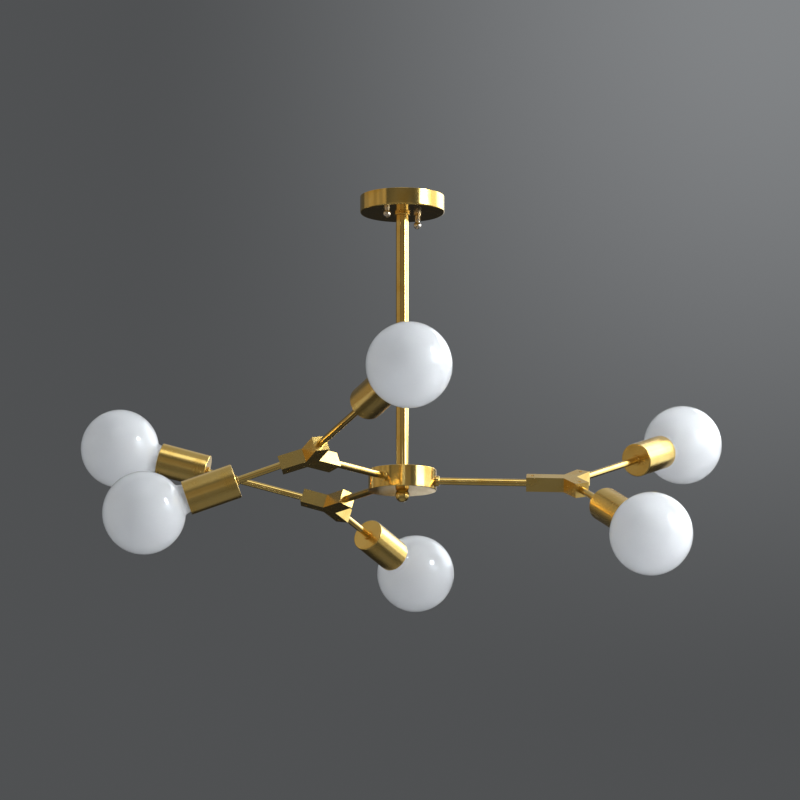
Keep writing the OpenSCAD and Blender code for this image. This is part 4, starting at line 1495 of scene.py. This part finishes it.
class FIXTURE_OT_stage(bpy.types.Operator):
    """Make the camera, the pale floor, the soft lamps and the room's light"""

    bl_idname = "fixture.stage"
    bl_label = "Stage"

    def execute(self, context):
        stage = context.scene.fixture_stage
        self.camera(context, stage)
        self.floor(context, stage)
        self.room(context)
        for row in LAMPS:
            self.lamp(context, stage, *row)
        context.scene.view_settings.view_transform = "Standard"
        return {"FINISHED"}

    def camera(self, context, stage):
        """The camera at the photograph's place, looking slightly up."""
        data = bpy.data.cameras.new("camera")
        data.lens, data.sensor_width = stage.lens, 36.0
        camera = bpy.data.objects.new("camera", data)
        camera.location = stage.camera_at
        camera.rotation_euler = (math.pi / 2 + stage.pitch, 0, stage.heading)
        context.scene.collection.objects.link(camera)
        context.scene.camera = camera

    def lamp(self, context, stage, name, right, up, away, width, height, radiance, shown, colour):
        """A soft rectangle in a direction seen from the object, aimed at the object."""
        a, e = math.radians(right) + stage.heading, math.radians(up)
        towards = Vector((math.sin(a) * math.cos(e), -math.cos(a) * math.cos(e), math.sin(e)))
        data = bpy.data.lights.new(name, "AREA")
        data.shape, data.size, data.size_y = "RECTANGLE", width, height
        data.energy = radiance * math.pi * width * height
        if shown == MATT:
            # A narrower spread makes a lamp brighter: the energy comes down by as much.
            data.spread = LAMP_SPREAD
            half = LAMP_SPREAD / 2
            data.energy *= 1 - half / math.tan(half)
        data.color = colour
        lamp = bpy.data.objects.new(name, data)
        lamp.location = LAMP_AIM + towards * away
        lamp.rotation_euler = towards.to_track_quat("Z", "Y").to_euler()
        lamp.visible_camera = False
        lamp.visible_diffuse, lamp.visible_glossy = shown == MATT, shown == GLOSS
        context.scene.collection.objects.link(lamp)

    def floor(self, context, stage):
        """A pale round floor that fades into the room towards its edge, a painted pool of light,
        and can't be seen from below.
        """
        fade_from, fade_to = stage.floor_r * 0.35, stage.floor_r * 0.97
        work = bmesh.new()
        bmesh.ops.create_circle(work, cap_ends=True, segments=96, radius=stage.floor_r)
        bmesh.ops.translate(work, vec=(0, 0, stage.floor_z), verts=work.verts)
        bmesh.ops.recalc_face_normals(work, faces=work.faces)
        mesh = mesh_from(work, "floor")
        if mesh.polygons[0].normal.z < 0:
            mesh.flip_normals()
        floor = linked("floor", mesh)
        material, nodes = empty_material("floor")
        place = object_place(nodes)
        x, y, _ = nodes.parts(place)
        # Painted pool of light: the floor fades out away from its middle, as if the lamps' light
        # fell off across it
        out = ((x * x + y * y) ** 0.5).ramp(fade_from, fade_to)
        under = Number(nodes, nodes.add("ShaderNodeNewGeometry").outputs["Backfacing"])
        speck = nodes.noise(place, 9.0, 3.0)
        tint = nodes.blend(speck * 0.25, stage.floor, [c * 0.93 for c in stage.floor])
        solid = nodes.add("ShaderNodeBsdfDiffuse", None, {"Color": tint}).outputs[0]
        clear = nodes.add("ShaderNodeBsdfTransparent").outputs[0]
        # Clear where the painted falloff has faded the floor out, and wherever it is seen from
        # below
        painted_falloff_and_underside = 1 - (1 - out) * (1 - under)
        mixed = nodes.add("ShaderNodeMixShader", None, {0: painted_falloff_and_underside, 1: solid, 2: clear})
        nodes.add("ShaderNodeOutputMaterial", None, {"Surface": mixed.outputs[0]})
        mesh.materials.append(material)

    def room(self, context):
        """The room's soft light by direction: pale behind the object, dimmer behind the camera."""
        world = bpy.data.worlds.new("room")
        world.use_nodes = True
        world.node_tree.nodes.clear()
        context.scene.world = world
        nodes = Nodes(world.node_tree)
        x, y, z = nodes.parts(nodes.add("ShaderNodeTexCoord").outputs["Generated"])
        height = z.maths("ARCSINE", z) * (180 / math.pi)
        c, d = math.cos(ROOM_TURN), math.sin(ROOM_TURN)
        side, back = x * c + y * d, y * c - x * d
        # Pale patch to the upper right behind the object, and the ceiling above it.
        glow = back.ramp(0.80, 0.95) * side.ramp(-0.060, 0.083) * height.ramp(6.5, 16)
        ceiling = height.ramp(20, 50) * (0.30 + side * 0.12 + back.ramp(0.3, 0.8) * 0.25)
        light = WALL_LIGHT + glow * GLOW_LIGHT + ceiling
        # Below the horizon the wall darkens behind the object.
        level = height.ramp(-14, -2)
        light = light * (level + (1 - level) * (1.0 - back * 0.85))
        room = {"Color": (*ROOM_COLOUR, 1.0), "Strength": light}
        shade = nodes.add("ShaderNodeBackground", None, room)
        nodes.add("ShaderNodeOutputWorld", None, {"Surface": shade.outputs[0]})


class FIXTURE_PT_panel(bpy.types.Panel):
    """Lists the steps that build the ceiling light"""

    bl_idname = "FIXTURE_PT_panel"
    bl_label = "Ceiling light"
    bl_space_type = "VIEW_3D"
    bl_region_type = "UI"
    bl_category = "Ceiling light"

    def draw(self, context):
        for step in STEPS:
            self.layout.operator(step.bl_idname)
        for name, kind in GROUPS.items():
            box = self.layout.box()
            for value in kind.__annotations__:
                box.prop(getattr(context.scene, name), value)


GROUPS = {
    "fixture_sizes": FixtureSizes,
    "fixture_finishes": FixtureFinishes,
    "fixture_stage": StageValues,
}
STEPS = (
    FIXTURE_OT_stage,
    FIXTURE_OT_mounting,
    FIXTURE_OT_canopy,
    FIXTURE_OT_stem,
    FIXTURE_OT_hub,
    FIXTURE_OT_arms,
    FIXTURE_OT_connectors,
    FIXTURE_OT_rods,
    FIXTURE_OT_cups,
    FIXTURE_OT_lampholders,
    FIXTURE_OT_bulbs,
)


def register():
    """Registers the classes and their values on the scene."""
    for name, group in GROUPS.items():
        bpy.utils.register_class(group)
        setattr(bpy.types.Scene, name, PointerProperty(type=group))
    for step in (*STEPS, FIXTURE_PT_panel):
        bpy.utils.register_class(step)


def unregister():
    """Takes them off again."""
    for step in reversed((*STEPS, FIXTURE_PT_panel)):
        bpy.utils.unregister_class(step)
    for name, group in GROUPS.items():
        delattr(bpy.types.Scene, name)
        bpy.utils.unregister_class(group)


def main():
    register()
    for step in STEPS:
        group, name = step.bl_idname.split(".")
        getattr(getattr(bpy.ops, group), name)()


if __name__ == "__main__":
    main()
